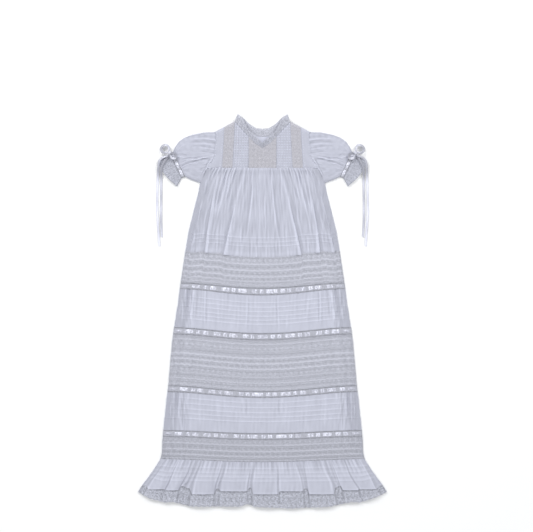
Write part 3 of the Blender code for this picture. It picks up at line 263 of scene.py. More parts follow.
# Creases of the sleeve: (place and share of the way at its start, the same at
# its end, widths on both sides, height in mm); places run from -1 at the top
# edge to 1 at the under edge
SLEEVE_CREASES = (
    (-0.84, -0.12, -0.95, 0.22, 0.030, 0.030, 1.2), (-0.74, -0.12, -0.88, 0.34, 0.040, 0.030, -1.0),
    (-0.64, -0.12, -0.82, 0.46, 0.030, 0.030, 1.7), (-0.55, -0.12, -0.69, 0.54, 0.045, 0.060, -1.6),
    (-0.46, -0.12, -0.58, 0.44, 0.030, 0.035, 0.8), (-0.40, 0.14, -0.52, 0.48, 0.030, 0.035, -0.7),
    (-0.22, -0.12, -0.40, 0.30, 0.030, 0.030, 1.3), (-0.31, -0.10, -0.46, 0.26, 0.030, 0.030, -0.9),
    (-0.13, -0.10, -0.27, 0.30, 0.035, 0.035, -1.2), (-0.16, -0.12, 0.10, 0.42, 0.028, 0.034, 1.5),
    (0.07, 0.18, 0.15, 0.98, 0.028, 0.034, 1.5), (-0.06, 0.04, 0.05, 0.46, 0.030, 0.030, -1.3),
    (0.05, 0.30, -0.05, 0.86, 0.034, 0.030, -1.4), (0.05, 0.06, 0.19, 0.46, 0.034, 0.050, -1.3),
    (0.17, 0.30, 0.27, 1.02, 0.034, 0.050, -1.6), (-0.05, 0.00, 0.12, 0.44, 0.018, 0.018, 0.9),
    (0.10, 0.30, 0.00, 0.90, 0.022, 0.022, 1.1), (0.24, 0.44, 0.35, 1.04, 0.024, 0.030, 1.2),
    (-0.52, 0.99, -0.02, 0.70, 0.024, 0.024, 1.3), (-0.56, 0.92, -0.12, 0.64, 0.030, 0.024, -1.0),
    (-0.66, 0.60, -0.70, 1.04, 0.035, 0.030, 0.8), (0.46, 0.58, 0.44, 1.04, 0.030, 0.040, 0.7),
    (0.62, 0.60, 0.56, 1.04, 0.040, 0.040, -0.7), (0.78, -0.10, 0.80, 0.60, 0.070, 0.060, -0.7),
    (0.10, -0.12, 0.34, 0.20, 0.030, 0.030, 0.9), (0.34, -0.12, 0.52, 0.24, 0.040, 0.030, -0.7),
    (-0.10, 0.022, 0.84, 0.035, 0.016, 0.016, 1.2), (-0.04, 0.062, 0.78, 0.075, 0.018, 0.018, -1.5),
)
CUFF_TOP = (-89.4, 37.0)
CUFF_FOOT = (-77.4, 62.0)
CUFF_DEPTH = 4.0
CUFF_LIFT = 0.0010
CUFF_PATCHES = 3
FRILL_EDGE = (
    (-101.3, 44.1), (-102.9, 47.6), (-102.9, 51.2), (-99.6, 57.0), (-95.5, 62.4),
    (-91.1, 66.8), (-85.3, 71.8),
)
FRILL_WAVES = 5
FRILL_WAVE_HEIGHT = 0.0012

# Bow: its own axes, in mm from the knot, through the loops, across and up
KNOT_CENTRE = (-92.6, 38.7)
BOW_TURN = math.radians(-41.0)
BOW_ROUTE = (
    (-2.4, 1.7, 7.7), (-5.0, 3.2, 7.4), (-9.0, 7.2, 6.6), (-14.0, 9.4, 5.4),
    (-19.8, 7.0, 4.6), (-22.4, 0.0, 4.2), (-19.8, -7.0, 4.4), (-14.0, -9.4, 5.2),
    (-9.0, -6.8, 6.4), (-5.0, -2.8, 7.4), (-2.2, -1.3, 7.7), (2.2, 1.1, 8.0),
    (5.2, 3.4, 8.4), (9.4, 5.4, 8.5), (14.0, 4.8, 8.5), (16.8, 0.6, 8.5),
    (14.6, -3.8, 8.5), (9.8, -5.2, 8.4), (5.4, -3.4, 8.2), (2.6, -1.9, 8.0),
)
KNOT_SPAN = 0.0094
KNOT_TOP = 0.0124
KNOT_FOOT = 0.0048
KNOT_WIDTH = 0.0056

# The bow's free ends: (across, down, height in metres)
STREAMERS = {
    "outer": (
        (-94.30, 40.66, 0.0084), (-95.6, 41.8, 0.0083), (-98.4, 42.6, 0.0078),
        (-101.4, 44.4, 0.0062), (-103.4, 47.8, 0.0058), (-104.2, 54.0, 0.0044),
        (-104.6, 62.0, 0.0014), (-105.0, 72.0, 0.0008), (-105.3, 84.0, 0.0008),
        (-105.3, 97.0, 0.0010), (-104.6, 110.0, 0.0010), (-103.8, 121.0, 0.0008),
        (-103.2, 131.4, 0.0008),
    ),
    "inner": (
        (-94.30, 40.66, 0.0066), (-95.2, 42.6, 0.0064), (-97.6, 46.4, 0.0062),
        (-99.8, 50.4, 0.0060), (-100.9, 54.5, 0.0056), (-101.2, 59.5, 0.0040),
        (-101.2, 67.0, 0.0014), (-101.3, 76.0, 0.0008), (-101.4, 90.0, 0.0008),
        (-101.5, 104.0, 0.0010), (-101.1, 114.0, 0.0008), (-100.7, 122.5, 0.0008),
    ),
}
SIDES = (("right", 1.0), ("left", -1.0))


# Plan and heights


def lerp(a, b, t):
    """The value a share t of the way from a to b."""
    return a + (b - a) * t


def smooth(low, high, value):
    """A soft step from 0 at low to 1 at high."""
    t = np.clip((value - low) / (high - low), 0.0, 1.0)
    return t * t * (3.0 - 2.0 * t)


def read(table, value, column=1):
    """A column of a table, at values of its first column."""
    return np.interp(value, [row[0] for row in table], [row[column] for row in table])


def points_at(across, down, height):
    """Points in metres, from places on the layout and heights."""
    across, down, height = np.broadcast_arrays(across, down, height)
    return np.stack([across * GRID, (0.5 * LENGTH - down) * GRID, height], axis=-1)


def ripple(x, y, size, seed, stretch=1.0, waves=14):
    """Smooth uneven swell of about -1 to 1, longer down the gown by stretch."""
    dice = np.random.default_rng(seed)
    total = 0.0
    for _ in range(waves):
        turn, start = dice.uniform(0.0, 2.0 * math.pi, 2)
        pace = 2.0 * math.pi / size * dice.uniform(0.6, 1.5)
        total = total + np.sin(
            pace * (math.cos(turn) * x + math.sin(turn) * y / stretch) + start
        )
    return total / math.sqrt(2.0 * waves)


def creases(x, y, table):
    """Height of uneven soft ridges and troughs, each along its own line."""
    height = 0.0
    for number, (x0, y0, x1, y1, outer, inner, rise) in enumerate(table):
        run_x, run_y = x1 - x0, y1 - y0
        run = math.hypot(run_x, run_y)
        along = ((x - x0) * run_x + (y - y0) * run_y) / run ** 2
        bend = 0.35 * outer * np.sin(5.0 * along + number)
        off = ((x - x0) * run_y - (y - y0) * run_x) / run + bend
        width = np.where(off < 0.0, outer, inner)
        taper = smooth(-0.04, 0.22, along) * smooth(-0.04, 0.25, 1.0 - along)
        uneven = 0.8 + 0.2 * np.sin(9.0 * along + 2.3 * number)
        height = height + 0.001 * rise * uneven * taper * np.exp(-((off / width) ** 2))
    return height


def half_width(down):
    """The skirt's half width on the layout."""
    return read(SKIRT_OUTLINE, down)


def seam_sag(u):
    """How the seams hang lower in the middle of the skirt."""
    return (1.0 - u * u) ** 2


def tier_1_edge(u):
    """Lowest edge of the first tier, where it laps over the lace."""
    side, centre = SEAMS["tier_1"]
    return side + (centre - side) * seam_sag(u) + read(TIER_1_STEPS, np.abs(u))


def soft_fold_height(u, down):
    """Height of the skirt's soft lengthwise folds."""
    height = 0.0
    for top, foot, start, end, half, rise in SOFT_FOLDS:
        share = (down - start) / (end - start)
        gap = np.abs(u - lerp(top, foot, share)) / half
        ends = smooth(0.0, 0.15, share) * smooth(0.0, 0.15, 1.0 - share)
        height = height + rise * ends * np.maximum(0.0, 1.0 - gap * gap) ** 2
    return height


def pleat_gaps(u, down):
    """Each pleat's opened share, distance from its edge, height, roll and drop."""
    for top, foot, start, rise, roll, drop in PLEATS:
        share = np.clip((down - start) / (SEAMS["tier_1"][1] - start), 0.0, 1.0)
        yield share, np.abs(u) - lerp(top, foot, share), rise, roll, drop


def pleat_height(u, down):
    """Height of the first tier's pleats, rolled on the inner side."""
    height = 0.0
    for share, gap, rise, roll, drop in pleat_gaps(u, down):
        form = np.where(gap > 0, 1.0 - gap / drop, 1.0 + gap / roll)
        form = np.clip(form, 0.0, 1.0) ** 1.3
        height = np.maximum(height, rise * form * smooth(0.0, 0.45, share))
    return height


def pleat_shade(u, down):
    """Paler along each pleat's folded edge and darker in the valley beside it."""
    shade = 0.0
    for share, gap, _, _, drop in pleat_gaps(u, down):
        crest = np.exp(-(((gap + 0.012) / 0.018) ** 2))
        valley = np.exp(-(((gap - drop - 0.010) / 0.022) ** 2))
        shade = shade + smooth(0.05, 0.6, share) * (0.85 * crest - 1.05 * valley)
    return shade


def gather_height(u, down):
    """Height of the uneven gathers below the yoke."""
    height = 0.0
    for top, foot, end, half, rise in GATHERS:
        for side in (-1.0, 1.0):
            share = (down - YOKE_HEM) / (end - YOKE_HEM)
            crest = side * lerp(top, foot, share) + 0.004 * np.sin(0.16 * down + 40.0 * top)
            fade = 1.0 - smooth(0.25, 1.0, share)
            gap = (u - crest) / (half * (1.0 + 0.6 * np.clip(share, 0.0, 1.0)))
            height = height + 0.001 * rise * fade * np.exp(-gap * gap)
    fine = (0.5 + 0.5 * np.cos(92.0 * math.pi * u + 0.7 * np.sin(9.0 * u)))
    return height + 0.0006 * fine * (1.0 - smooth(54.0, 60.0, down))


def tuck_relief(down, edges):
    """How far pressed tucks stand up: flat from the stitches, then a drop."""
    relief = np.zeros_like(down)
    for edge in edges:
        knots = (edge - 1.5, edge - 1.38, edge - 0.35, edge - 0.05, edge + 0.04)
        relief = np.maximum(relief, np.interp(down, knots, (0.0, 0.35, 1.0, 0.8, 0.0)))
    return relief


def tuck_downs(top, foot, edges, step):
    """Places of rows down a tier, close together at each tuck's edge."""
    downs = list(np.arange(top, foot, step)) + [foot]
    for edge in edges:
        downs += [edge + shift for shift in (-1.5, -1.38, -0.9, -0.35, -0.05, 0.04, 0.3)]
    return np.array(sorted(set(round(down, 3) for down in downs)))


def band(top, foot, front_top=None, front_foot=None, straight=None):
    """Plan place of a piece between two of the seams, and its half width. Rows
    of a piece with a straight down stay level until its stepped foot."""
    top_side, top_centre = SEAMS[top]
    foot_side, foot_centre = SEAMS[foot]

    def place(u, v, front):
        upper = top_side + (top_centre - top_side) * seam_sag(u)
        lower = foot_side + (foot_centre - foot_side) * seam_sag(u)
        if front and front_top:
            upper = front_top(u)
        if front and front_foot and straight:
            level = lower + (straight - lower) * np.minimum(1.0, (1.0 - np.abs(u)) * 8.0)
            last = (front_foot(u) - level) * smooth(0.70, 1.0, v)
            return u * half(v) / GRID, lerp(upper, level, v) + last
        if front and front_foot:
            lower = front_foot(u)
        return u * half(v) / GRID, lerp(upper, lower, v)

    def half(v):
        down = lerp(top_side, foot_side, v)
        return (half_width(down) + 0.16 * ripple(down, 0.0, 9.0, 5)) * GRID

    return place, half


def half_span(plan):
    """Half width in metres of a piece whose edges are at -1 and 1 of its plan."""

    def half(v):
        top, foot = plan(-1.0 + 0 * v, v), plan(1.0 + 0 * v, v)
        return 0.5 * GRID * np.hypot(foot[0] - top[0], foot[1] - top[1])

    return half


def corded(rows, knots):
    """How high the cords at a band's two edges stand, at each of its rows."""
    return np.interp(rows, knots, (0.0, 0.8, 1.0, 0.1, 0.1, 1.0, 0.8, 0.0))[:, None]


# Meshes


def soften(values, reach):
    """Values averaged over a square of cells, to tell hollows from ridges."""
    for axis in (0, 1):
        total = np.zeros_like(values)
        for shift in range(-reach, reach + 1):
            index = np.clip(np.arange(values.shape[axis]) + shift, 0, values.shape[axis] - 1)
            total = total + np.take(values, index, axis=axis)
        values = total / (2 * reach + 1)
    return values


def lay_cloth(name, spots, marks, finish, closed=False, flip=False, tone=None):
    """A sheet from a grid of points, rows down it and columns across it. marks
    hold the places on the flat cloth, and tone is 1 on ridges and -1 in hollows."""
    rows, columns = spots.shape[:2]
    r, c = np.meshgrid(
        np.arange(rows - 1), np.arange(columns if closed else columns - 1), indexing="ij"
    )
    after = (c + 1) % columns
    corners = np.stack(
        [r * columns + c, (r + 1) * columns + c, (r + 1) * columns + after,
         r * columns + after], axis=-1,
    )
    plan = np.stack([marks[r, c], marks[r + 1, c], marks[r + 1, c + 1], marks[r, c + 1]], axis=2)
    if flip:
        corners = corners[..., ::-1]
        plan = plan[..., ::-1, :]
    mesh = bpy.data.meshes.new(name)
    mesh.from_pydata(spots.reshape(-1, 3).tolist(), [], corners.reshape(-1, 4).tolist())
    layer = mesh.uv_layers.new(name="cloth")
    layer.data.foreach_set("uv", np.ascontiguousarray(plan, dtype=np.float32).ravel())
    # A layer of painted light and shade at each point, read by the finishes.
    painted_shadings = mesh.attributes.new("tone", "FLOAT", "POINT")
    if tone is None:
        tone = np.zeros((rows, columns))
    painted_shadings.data.foreach_set("value", np.ascontiguousarray(tone, dtype=np.float32).ravel())
    mesh.polygons.foreach_set("use_smooth", np.ones(len(mesh.polygons), dtype=bool))
    mesh.materials.append(finish)
    made = bpy.data.objects.new(name, mesh)
    bpy.context.scene.collection.objects.link(made)
    return made


def dress(piece, node, *more):
    """Let a piece ride on the gown, stand for its nodes and take their finish."""
    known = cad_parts
    for name in (node,) + more:
        if name not in known:
            raise RuntimeError(f"the frame has no node named {name}")
    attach(piece, "root")
    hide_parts(node, *more)
    return piece


def pressed_tube(name, place, half, columns, rows, lift, finish, along=None, flip=False,
                 extra_painted_shading=0.0):
    """A tube of cloth pressed flat: its front, a rounded fold at each side and
    its back on the table. lift(u, v) is the front's height over the flat cloth."""
    turns = np.radians((58.0, 24.0, -8.0, -40.0, -66.0))
    middle = 0.5 * FLAT_HEIGHT
    front_u, front_v = np.meshgrid(np.linspace(-1.0, 1.0, columns), rows)
    back_u, back_v = np.meshgrid(np.linspace(1.0, -1.0, BACK_COLUMNS), rows)
    side_turn, side_v = np.meshgrid(turns, rows)

    def inset(v):
        return EDGE / half(v)

    def held(u, v):
        return np.clip(u, -1.0 + inset(v), 1.0 - inset(v))

    fade = np.minimum(1.0, (1.0 - np.abs(front_u)) * 18.0)
    raised = lift(front_u, front_v) * fade
    front = held(front_u, front_v)
    fold = 1.0 - inset(side_v) * (1.0 - np.cos(side_turn))
    back = held(back_u, back_v)
    fold_height = middle * (1.0 + np.sin(side_turn))
    back_x, back_down = place(back, back_v, False)
    back_height = 0.00025 + 0.00022 * ripple(back_x, back_down, 14.0, 9)
    parts = []
    quarter = 0.5 * math.pi * middle
    for u, v, is_front, height in (
        (front, front_v, True, FLAT_HEIGHT + raised),
        (fold, side_v, False, fold_height),
        (back, back_v, False, back_height),
        (-fold[:, ::-1], side_v[:, ::-1], False, fold_height[:, ::-1]),
    ):
        across, down = place(u, v, is_front)
        parts.append(points_at(across, down, height))
    width = half(front_v[:, :1])
    front_x = front * width
    right_x = width + (0.5 * math.pi - side_turn) * middle
    back_s = width + 2.0 * quarter + (width - back * width)
    left_x = 3.0 * width + 2.0 * quarter + (0.5 * math.pi + side_turn[:, ::-1]) * middle
    close_x = 3.0 * width + 4.0 * quarter
    marks_x = np.concatenate([front_x, right_x, back_s, left_x, close_x], axis=1)
    spots = np.concatenate(parts, axis=1)
    if along is None:
        marks_y = (spots[:1, :, 1] - spots[:, :, 1])
    else:
        marks_y = np.repeat(along(rows)[:, None], spots.shape[1], axis=1)
    marks_y = np.concatenate([marks_y, marks_y[:, :1]], axis=1)
    height = spots[:, :columns, 2]
    # Painted shade in hollows and painted highlight on ridges, from the height against its average.
    cavity = np.clip((height - soften(height, 4)) / 0.0006, -1.0, 1.0)
    tone = np.zeros(spots.shape[:2])
    # Painted shade along the rounded side folds, added to any extra painted light and shade given.
    painted_rim_shading = 0.6 * smooth(0.975, 1.0, np.abs(front_u))
    tone[:, :columns] = np.clip(0.5 * cavity + extra_painted_shading - painted_rim_shading, -1.0, 1.0)
    marks = np.stack([marks_x, marks_y], axis=-1)
    return lay_cloth(name, spots, marks, finish, True, flip, tone)


def flat_panel(name, place, columns, rows, height, finish, flip=False, marks=None,
               extra_painted_shading=None):
    """A single layer of cloth. place(u, v) gives across and down."""
    u, v = np.meshgrid(columns, rows)
    across, down = place(u, v)
    level = height(u, v)
    spots = points_at(across, down, level)
    if marks is None:
        marks = np.stack([np.abs(across) * GRID, down * GRID], axis=-1)
    else:
        marks = np.stack(marks(u, v), axis=-1)
    # Painted shade in hollows and painted highlight on ridges, plus any extra painted light and
    # shade given.
    tone = np.clip((level - soften(level, 3)) / 0.0005, -1.0, 1.0) * 0.75
    if extra_painted_shading is not None:
        tone = np.clip(tone + extra_painted_shading(u, v), -1.0, 1.0)
    return lay_cloth(name, spots, marks, finish, False, flip, tone)


def route_axes(path):
    """Unit directions along a route and level beside it."""
    along = np.gradient(path, axis=0)
    along /= np.linalg.norm(along, axis=1)[:, None]
    level = np.stack([-along[:, 1], along[:, 0], np.zeros(len(path))], axis=1)
    return along, level / np.linalg.norm(level, axis=1)[:, None]


def smooth_route(route, spacing):
    """Evenly spaced points on a smooth curve through a route's points."""
    route = [np.array(point, dtype=float) for point in route]
    ends = [2 * route[0] - route[1]] + route + [2 * route[-1] - route[-2]]
    fine = []
    for k in range(1, len(ends) - 2):
        a, b, c, d = ends[k - 1 : k + 3]
        for t in np.linspace(0.0, 1.0, 12, endpoint=False):
            fine.append(
                0.5
                * (
                    2 * b
                    + (c - a) * t
                    + (2 * a - 5 * b + 4 * c - d) * t * t
                    + (3 * b - a - 3 * c + d) * t ** 3
                )
            )
    fine.append(route[-1])
    fine = np.array(fine)
    run = np.concatenate(
        ([0.0], np.cumsum(np.linalg.norm(np.diff(fine, axis=0), axis=1)))
    )
    marks = np.linspace(0.0, run[-1], max(3, int(round(run[-1] / spacing)) + 1))
    return np.stack([np.interp(marks, run, fine[:, k]) for k in range(3)], axis=1), run[-1]


# Finishes


def math_method(operation, swap=False):
    """A method that joins a socket to other terms by one Math node."""

    def method(self, *others):
        return self.join(operation, *others, swap=swap)

    return method


class Value:
    """A socket that takes part in sums: an expression adds its Math nodes."""

    def __init__(self, tree, socket):
        self.tree = tree
        self.socket = socket

    def join(self, operation, *others, swap=False):
        node = self.tree.nodes.new("ShaderNodeMath")
        node.operation = operation
        terms = [self, *others]
        if swap:
            terms.reverse()
        for slot, term in zip(node.inputs, terms):
            if isinstance(term, Value):
                self.tree.links.new(term.socket, slot)
            else:
                slot.default_value = term
        return Value(self.tree, node.outputs[0])

    __add__ = __radd__ = math_method("ADD")
    __sub__ = math_method("SUBTRACT")
    __rsub__ = math_method("SUBTRACT", swap=True)
    __mul__ = __rmul__ = math_method("MULTIPLY")
    __truediv__ = math_method("DIVIDE")
    __mod__ = math_method("FLOORED_MODULO")
    __pow__ = math_method("POWER")
    __abs__ = math_method("ABSOLUTE")
    __lt__ = math_method("LESS_THAN")
    sine = math_method("SINE")
    most = math_method("MAXIMUM")


class Finish:
    """A material's nodes, ending in its shader."""

    def __init__(self, name, constants):
        self.made = bpy.data.materials.new(name)
        self.made.use_nodes = True
        self.tree = self.made.node_tree
        self.shader = self.tree.nodes["Principled BSDF"]
        for socket, value in constants.items():
            self.shader.inputs[socket].default_value = value

    def node(self, kind, settings=None, values=None, output=0):
        """Any node: its settings first, then its sockets' values or links."""
        made = self.tree.nodes.new(kind)
        for key, value in (settings or {}).items():
            setattr(made, key, value)
        for key, value in (values or {}).items():
            self.feed(made.inputs[key], value)
        return Value(self.tree, made.outputs[output])

    def feed(self, socket, value):
        if isinstance(value, Value):
            self.tree.links.new(value.socket, socket)
        else:
            socket.default_value = value

    def shade(self, **values):
        """Link what changes over the surface to the shader."""
        for key, value in values.items():
            self.feed(self.shader.inputs[key.replace("_", " ")], value)

    def plan(self):
        """Places on the flat cloth, in metres: across it and down it."""
        spot = self.node("ShaderNodeUVMap", {"uv_map": "cloth"})
        split = "ShaderNodeSeparateXYZ"
        return (
            self.node(split, None, {0: spot}, 0),
            self.node(split, None, {0: spot}, 1),
        )

    def tone(self):
        """1 on ridges and -1 in hollows."""
        return self.node("ShaderNodeAttribute", {"attribute_name": "tone"}, None, 2)

    def noise(self, across, down, size, stretch=1.0, detail=2.0):
        """Uneven noise, longer down the cloth by stretch."""
        spot = self.node(
            "ShaderNodeCombineXYZ", None, {0: across / size, 1: down / (size * stretch)}
        )
        return self.node(
            "ShaderNodeTexNoise", {"noise_dimensions": "2D"},
            {"Vector": spot, "Scale": 1.0, "Detail": detail},
        )

    def blend(self, share, plain, marked):
        """One colour turning into another."""
        return self.node(
            "ShaderNodeMix", {"data_type": "RGBA"}, {0: share, 6: plain, 7: marked}, 2
        )

    def soft_step(self, value, low, high):
        """A soft step from 0 at low to 1 at high."""
        return self.node(
            "ShaderNodeMapRange", {"interpolation_type": "SMOOTHSTEP"},
            {"Value": value, "From Min": low, "From Max": high},
        )

    def bump(self, height, distance, strength=1.0):
        """The shader's normal, from a height of 0 to 1 over a distance."""
        normal = self.node(
            "ShaderNodeBump", None,
            {"Height": height, "Distance": distance, "Strength": strength},
        )
        self.shade(Normal=normal)


def paler(colour, amount):
    """A colour made lighter or darker, with its alpha."""
    return (*[min(1.0, channel * amount) for channel in colour], 1.0)


def threads(finish, across, down, pitch):
    """Crossing threads of a plain weave: 0 between them and 1 on their crowns."""
    pace = math.pi / pitch
    warp = abs((across * pace).sine())
    weft = abs((down * pace).sine())
    return (warp * 0.5 + weft * 0.5).most(warp * weft)


def lawn_finish(name, colour):
    """Fine white cotton: plain weave, slubs, soft mottling, paler on ridges."""
    finish = Finish(
        name,
        {"Sheen Weight": 0.12, "Sheen Roughness": 0.45, "Specular IOR Level": 0.25},
    )
    across, down = finish.plan()
    weave = threads(finish, across, down, WEAVE_PITCH)
    slub = finish.noise(across, down, 0.0011, 9.0) + finish.noise(down, across, 0.0011, 9.0)
    mottle = finish.noise(across, down, 0.021, 1.6)
    wrinkle = finish.noise(across, down, 0.0052, 2.6, 3.0)
    # The cloth's own mottling and slubs, mixed with the painted light and shade stored on the mesh.
    light = 0.5 + finish.tone() * 0.5 + (mottle - 0.5) * 0.22 + (slub - 1.0) * 0.10
    finish.shade(
        Base_Color=finish.blend(light, paler(colour, 0.80), paler(colour, 1.18)),
        Roughness=0.80 + mottle * 0.14,
    )
    finish.bump(weave * 0.10 + slub * 0.16 + wrinkle * 0.9, 0.0009, 0.55)
    return finish.made


def net(across, down, pitch, thread):
    """A diamond net: 1 on its threads and 0 in its holes."""
    pace = math.pi / pitch
    open_part = abs(((across + down) * pace).sine() * ((across - down) * pace).sine())
    return open_part < thread


def wavy_row(finish, across, down, centre, height, length, thickness):
    """A thick line of lace that runs in small waves: 1 on it and 0 away from it."""
    wave = (across * (2.0 * math.pi / length)).sine() * height
    off = abs(down - centre - wave)
    return 1.0 - finish.soft_step(off, 0.38 * thickness, 0.62 * thickness)


def sprig_row(finish, across, down, centre, pitch, radius, petals):
    """A row of small flowers: 1 on the petals and 0 away from them."""
    beside = ((across / pitch) % 1.0 - 0.5) * pitch
    below = down - centre
    turn = below.join("ARCTAN2", beside)
    reach = (beside * beside + below * below) ** 0.5
    petal = (turn * float(petals)).join("COSINE") * (0.36 * radius) + 0.64 * radius
    away = finish.soft_step(reach / petal, 0.80, 1.05)
    eye = finish.soft_step(reach, 0.12 * radius, 0.26 * radius)
    return (1.0 - away) * eye


def lace_finish(name, colour, rows, sprigs, pitch=0.0021, open_share=0.74, leaves=0.4,
                painted_shadow_lines=(), span=(0.80, 1.14)):
    """Cotton lace: a see-through net with thick rows and sprigs. span holds how
    dark its holes and how pale its thick parts are."""
    finish = Finish(name, {"Sheen Weight": 0.10, "Specular IOR Level": 0.2})
    across, down = finish.plan()
    wander = finish.noise(across, down, 0.006, 1.0) - 0.5
    across_uneven = across + wander * 0.0012
    down_uneven = down + wander * 0.0006
    thick = None
    for centre, height, length, thickness in rows:
        row = wavy_row(finish, across_uneven, down, centre, height, length, thickness) * 0.62
        thick = row if thick is None else thick.most(row)
    for centre, apart, radius, petals in sprigs:
        row = sprig_row(finish, across, down_uneven, centre, apart, radius, petals)
        thick = row if thick is None else thick.most(row)
    ground = net(across_uneven, down_uneven, pitch, 0.40)
    leaf = finish.noise(across, down, 0.0034, 0.8, 1.0)
    leaf = finish.soft_step(leaf, 0.52, 0.60) * leaves
    thick = leaf if thick is None else leaf.most(thick)
    cover = ground.most(thick)
    thread = threads(finish, across, down, 0.0005)
    # Thick parts are paler, partly from their denser threads and partly as painted highlight; the
    # holes get painted shade.
    raised = (ground * 0.30).most(thick)
    mottle = finish.noise(across, down, 0.004, 1.0, 3.0)
    dots = finish.soft_step(finish.noise(across, down, 0.0021, 1.0, 0.0), 0.44, 0.60)
    light = 0.16 + raised * 0.50 + dots * 0.30 + finish.tone() * 0.30 + (mottle - 0.5) * 0.4
    # Painted shadow lines between the thick rows.
    for centre in painted_shadow_lines:
        light = light - (1.0 - finish.soft_step(abs(down_uneven - centre), 0.0005, 0.0016)) * 0.42
    finish.shade(
        Base_Color=finish.blend(light, paler(colour, span[0]), paler(colour, span[1])),
        Alpha=open_share + cover * (1.0 - open_share),
        Roughness=0.86 + mottle * 0.10,
    )
    finish.bump(raised + thread * 0.12 + mottle * 0.2, 0.0006, 0.8)
    return finish.made


def beading_finish(name, colour, depth):
    """Beading: lace with corded edges and a ladder of small holes inside them."""
    finish = Finish(name, {"Sheen Weight": 0.10, "Specular IOR Level": 0.2})
    across, down = finish.plan()
    share = down / depth
    off = abs(share - 0.5)
    cord = 1.0 - finish.soft_step(abs(off - 0.465), 0.012, 0.035)
    ladder = finish.soft_step(abs(off - 0.385), 0.055, 0.040)
    rung = finish.soft_step(abs((across / 0.0027) % 1.0 - 0.5), 0.17, 0.25)
    hole = ladder * (1.0 - rung)
    ground = net(across, down, 0.0016, 0.45)
    mottle = finish.noise(across, down, 0.004, 1.0, 3.0)
    # Painted shade along the cords and in the holes, paler net threads, and the beading's own
    # mottling.
    light = 0.50 - cord * 0.20 + ground * 0.18 - hole * 0.30 + (mottle - 0.5) * 0.7
    finish.shade(
        Base_Color=finish.blend(light, paler(colour, 0.72), paler(colour, 1.05)),
        Alpha=1.0 - hole * 0.75,
        Roughness=0.86 + mottle * 0.10,
    )
    finish.bump(cord + ground * 0.25 - hole * 0.6 + mottle * 0.2, 0.0006, 0.9)
    return finish.made


def tucked_finish(name, colour, ladders=()):
    """Lawn with upright pin tucks, crossed by short rows of thread bars, or with
    the bars on upright ladders alone."""
    finish = Finish(
        name,
        {"Sheen Weight": 0.12, "Sheen Roughness": 0.45, "Specular IOR Level": 0.25},
    )
    across, down = finish.plan()
    weave = threads(finish, across, down, WEAVE_PITCH)
    bar = 1.0 - finish.soft_step(
        abs((down / STITCH_PITCH) % 1.0 - 0.5), 0.13, 0.21
    )
    if ladders:
        gap = None
        for centre in ladders:
            line = 1.0 - finish.soft_step(abs(across - centre), 0.0014, 0.0019)
            gap = line if gap is None else gap.most(line)
    else:
        gap = 1.0 - finish.soft_step(
            abs((across / STITCH_PITCH) % 1.0 - 0.5), 0.28, 0.36
        )
    worn = finish.soft_step(finish.noise(across, down, 0.016), 0.30, 0.62)
    stitch = bar * gap * (worn * 0.65 + 0.35)
    mottle = finish.noise(across, down, 0.012, 1.5)
    # Paler thread bars and mottling, mixed with the painted light and shade stored on the mesh.
    light = 0.30 + stitch * 0.62 + finish.tone() * 0.26 + (mottle - 0.5) * 0.4
    finish.shade(
        Base_Color=finish.blend(light, paler(colour, 0.80), paler(colour, 1.20)),
        Roughness=0.80 + mottle * 0.14,
    )
    finish.bump(stitch * 0.8 + weave * 0.12 + mottle * 0.4, 0.0006, 0.8)
    return finish.made


def satin_finish(name, colour, painted_glint_amount, shaded):
    """Satin ribbon: fine lengthwise floats, a firm edge and a soft gloss, broken
    into glints where the ribbon is gathered. shaded is how dark its hollows are."""
    finish = Finish(
        name,
        {
            "Sheen Weight": 0.25, "Sheen Roughness": 0.3, "Specular IOR Level": 0.6,
            "Anisotropic": 0.45,
        },
    )
    across, down = finish.plan()
    floats = finish.noise(down, across, 0.00035, 26.0)
    # Painted shade along the ribbon's edges, which are also rougher and raised.
    edge = finish.soft_step(abs(down - 0.5), 0.40, 0.46)
    # Painted glints: pale patches painted into the colour.
    cloud = finish.noise(across, down * 0.006, 0.0026, 1.0, 1.0)
    glint = finish.soft_step(cloud, 0.49, 0.63)
    # Painted glints and the painted light and shade from the mesh, with the floats' own streaks.
    light = 0.68 - 0.60 * painted_glint_amount + glint * (0.80 * painted_glint_amount) + finish.tone() * 0.42
    light = light + (floats - 0.5) * 0.2 - edge * 0.25
    finish.shade(
        Base_Color=finish.blend(light, paler(colour, shaded), paler(colour, 1.18)),
        Roughness=0.26 + floats * 0.14 + edge * 0.12,
    )
    finish.bump(floats * 0.4 + edge * 0.5, 0.0003, 0.6)
    return finish.made


def pearl_finish(name, colour):
    """Mother-of-pearl button: cloudy bands under a polished face."""
    finish = Finish(name, {"Coat Roughness": 0.08, "Specular IOR Level": 0.6})
    spot = finish.node("ShaderNodeTexCoord", None, None, 3)
    cloud = finish.node(
        "ShaderNodeTexNoise", None, {"Vector": spot, "Scale": 420.0, "Detail": 3.0}
    )
    band_noise = finish.node(
        "ShaderNodeTexNoise", None, {"Vector": spot, "Scale": 130.0, "Detail": 1.0}
    )
    ring = abs((band_noise * 26.0).sine())
    finish.shade(
        Base_Color=finish.blend(
            ring * 0.6 + cloud * 0.4, paler(colour, 0.88), paler(colour, 1.06)
        ),
        Roughness=0.16 + cloud * 0.16,
        Coat_Weight=0.4 + ring * 0.3,
    )
    finish.bump(cloud, 0.0001, 0.4)
    return finish.made


def thread_finish(name, colour):
    """Twisted cotton thread."""
    finish = Finish(name, {"Sheen Weight": 0.1})
    across, down = finish.plan()
    twist = abs(((across + down) * (math.pi / 0.0011)).sine())
    finish.shade(
        Base_Color=finish.blend(twist, paler(colour, 0.78), paler(colour, 1.08)),
        Roughness=0.72 + twist * 0.16,
    )
    finish.bump(twist, 0.0003, 0.8)
    return finish.made


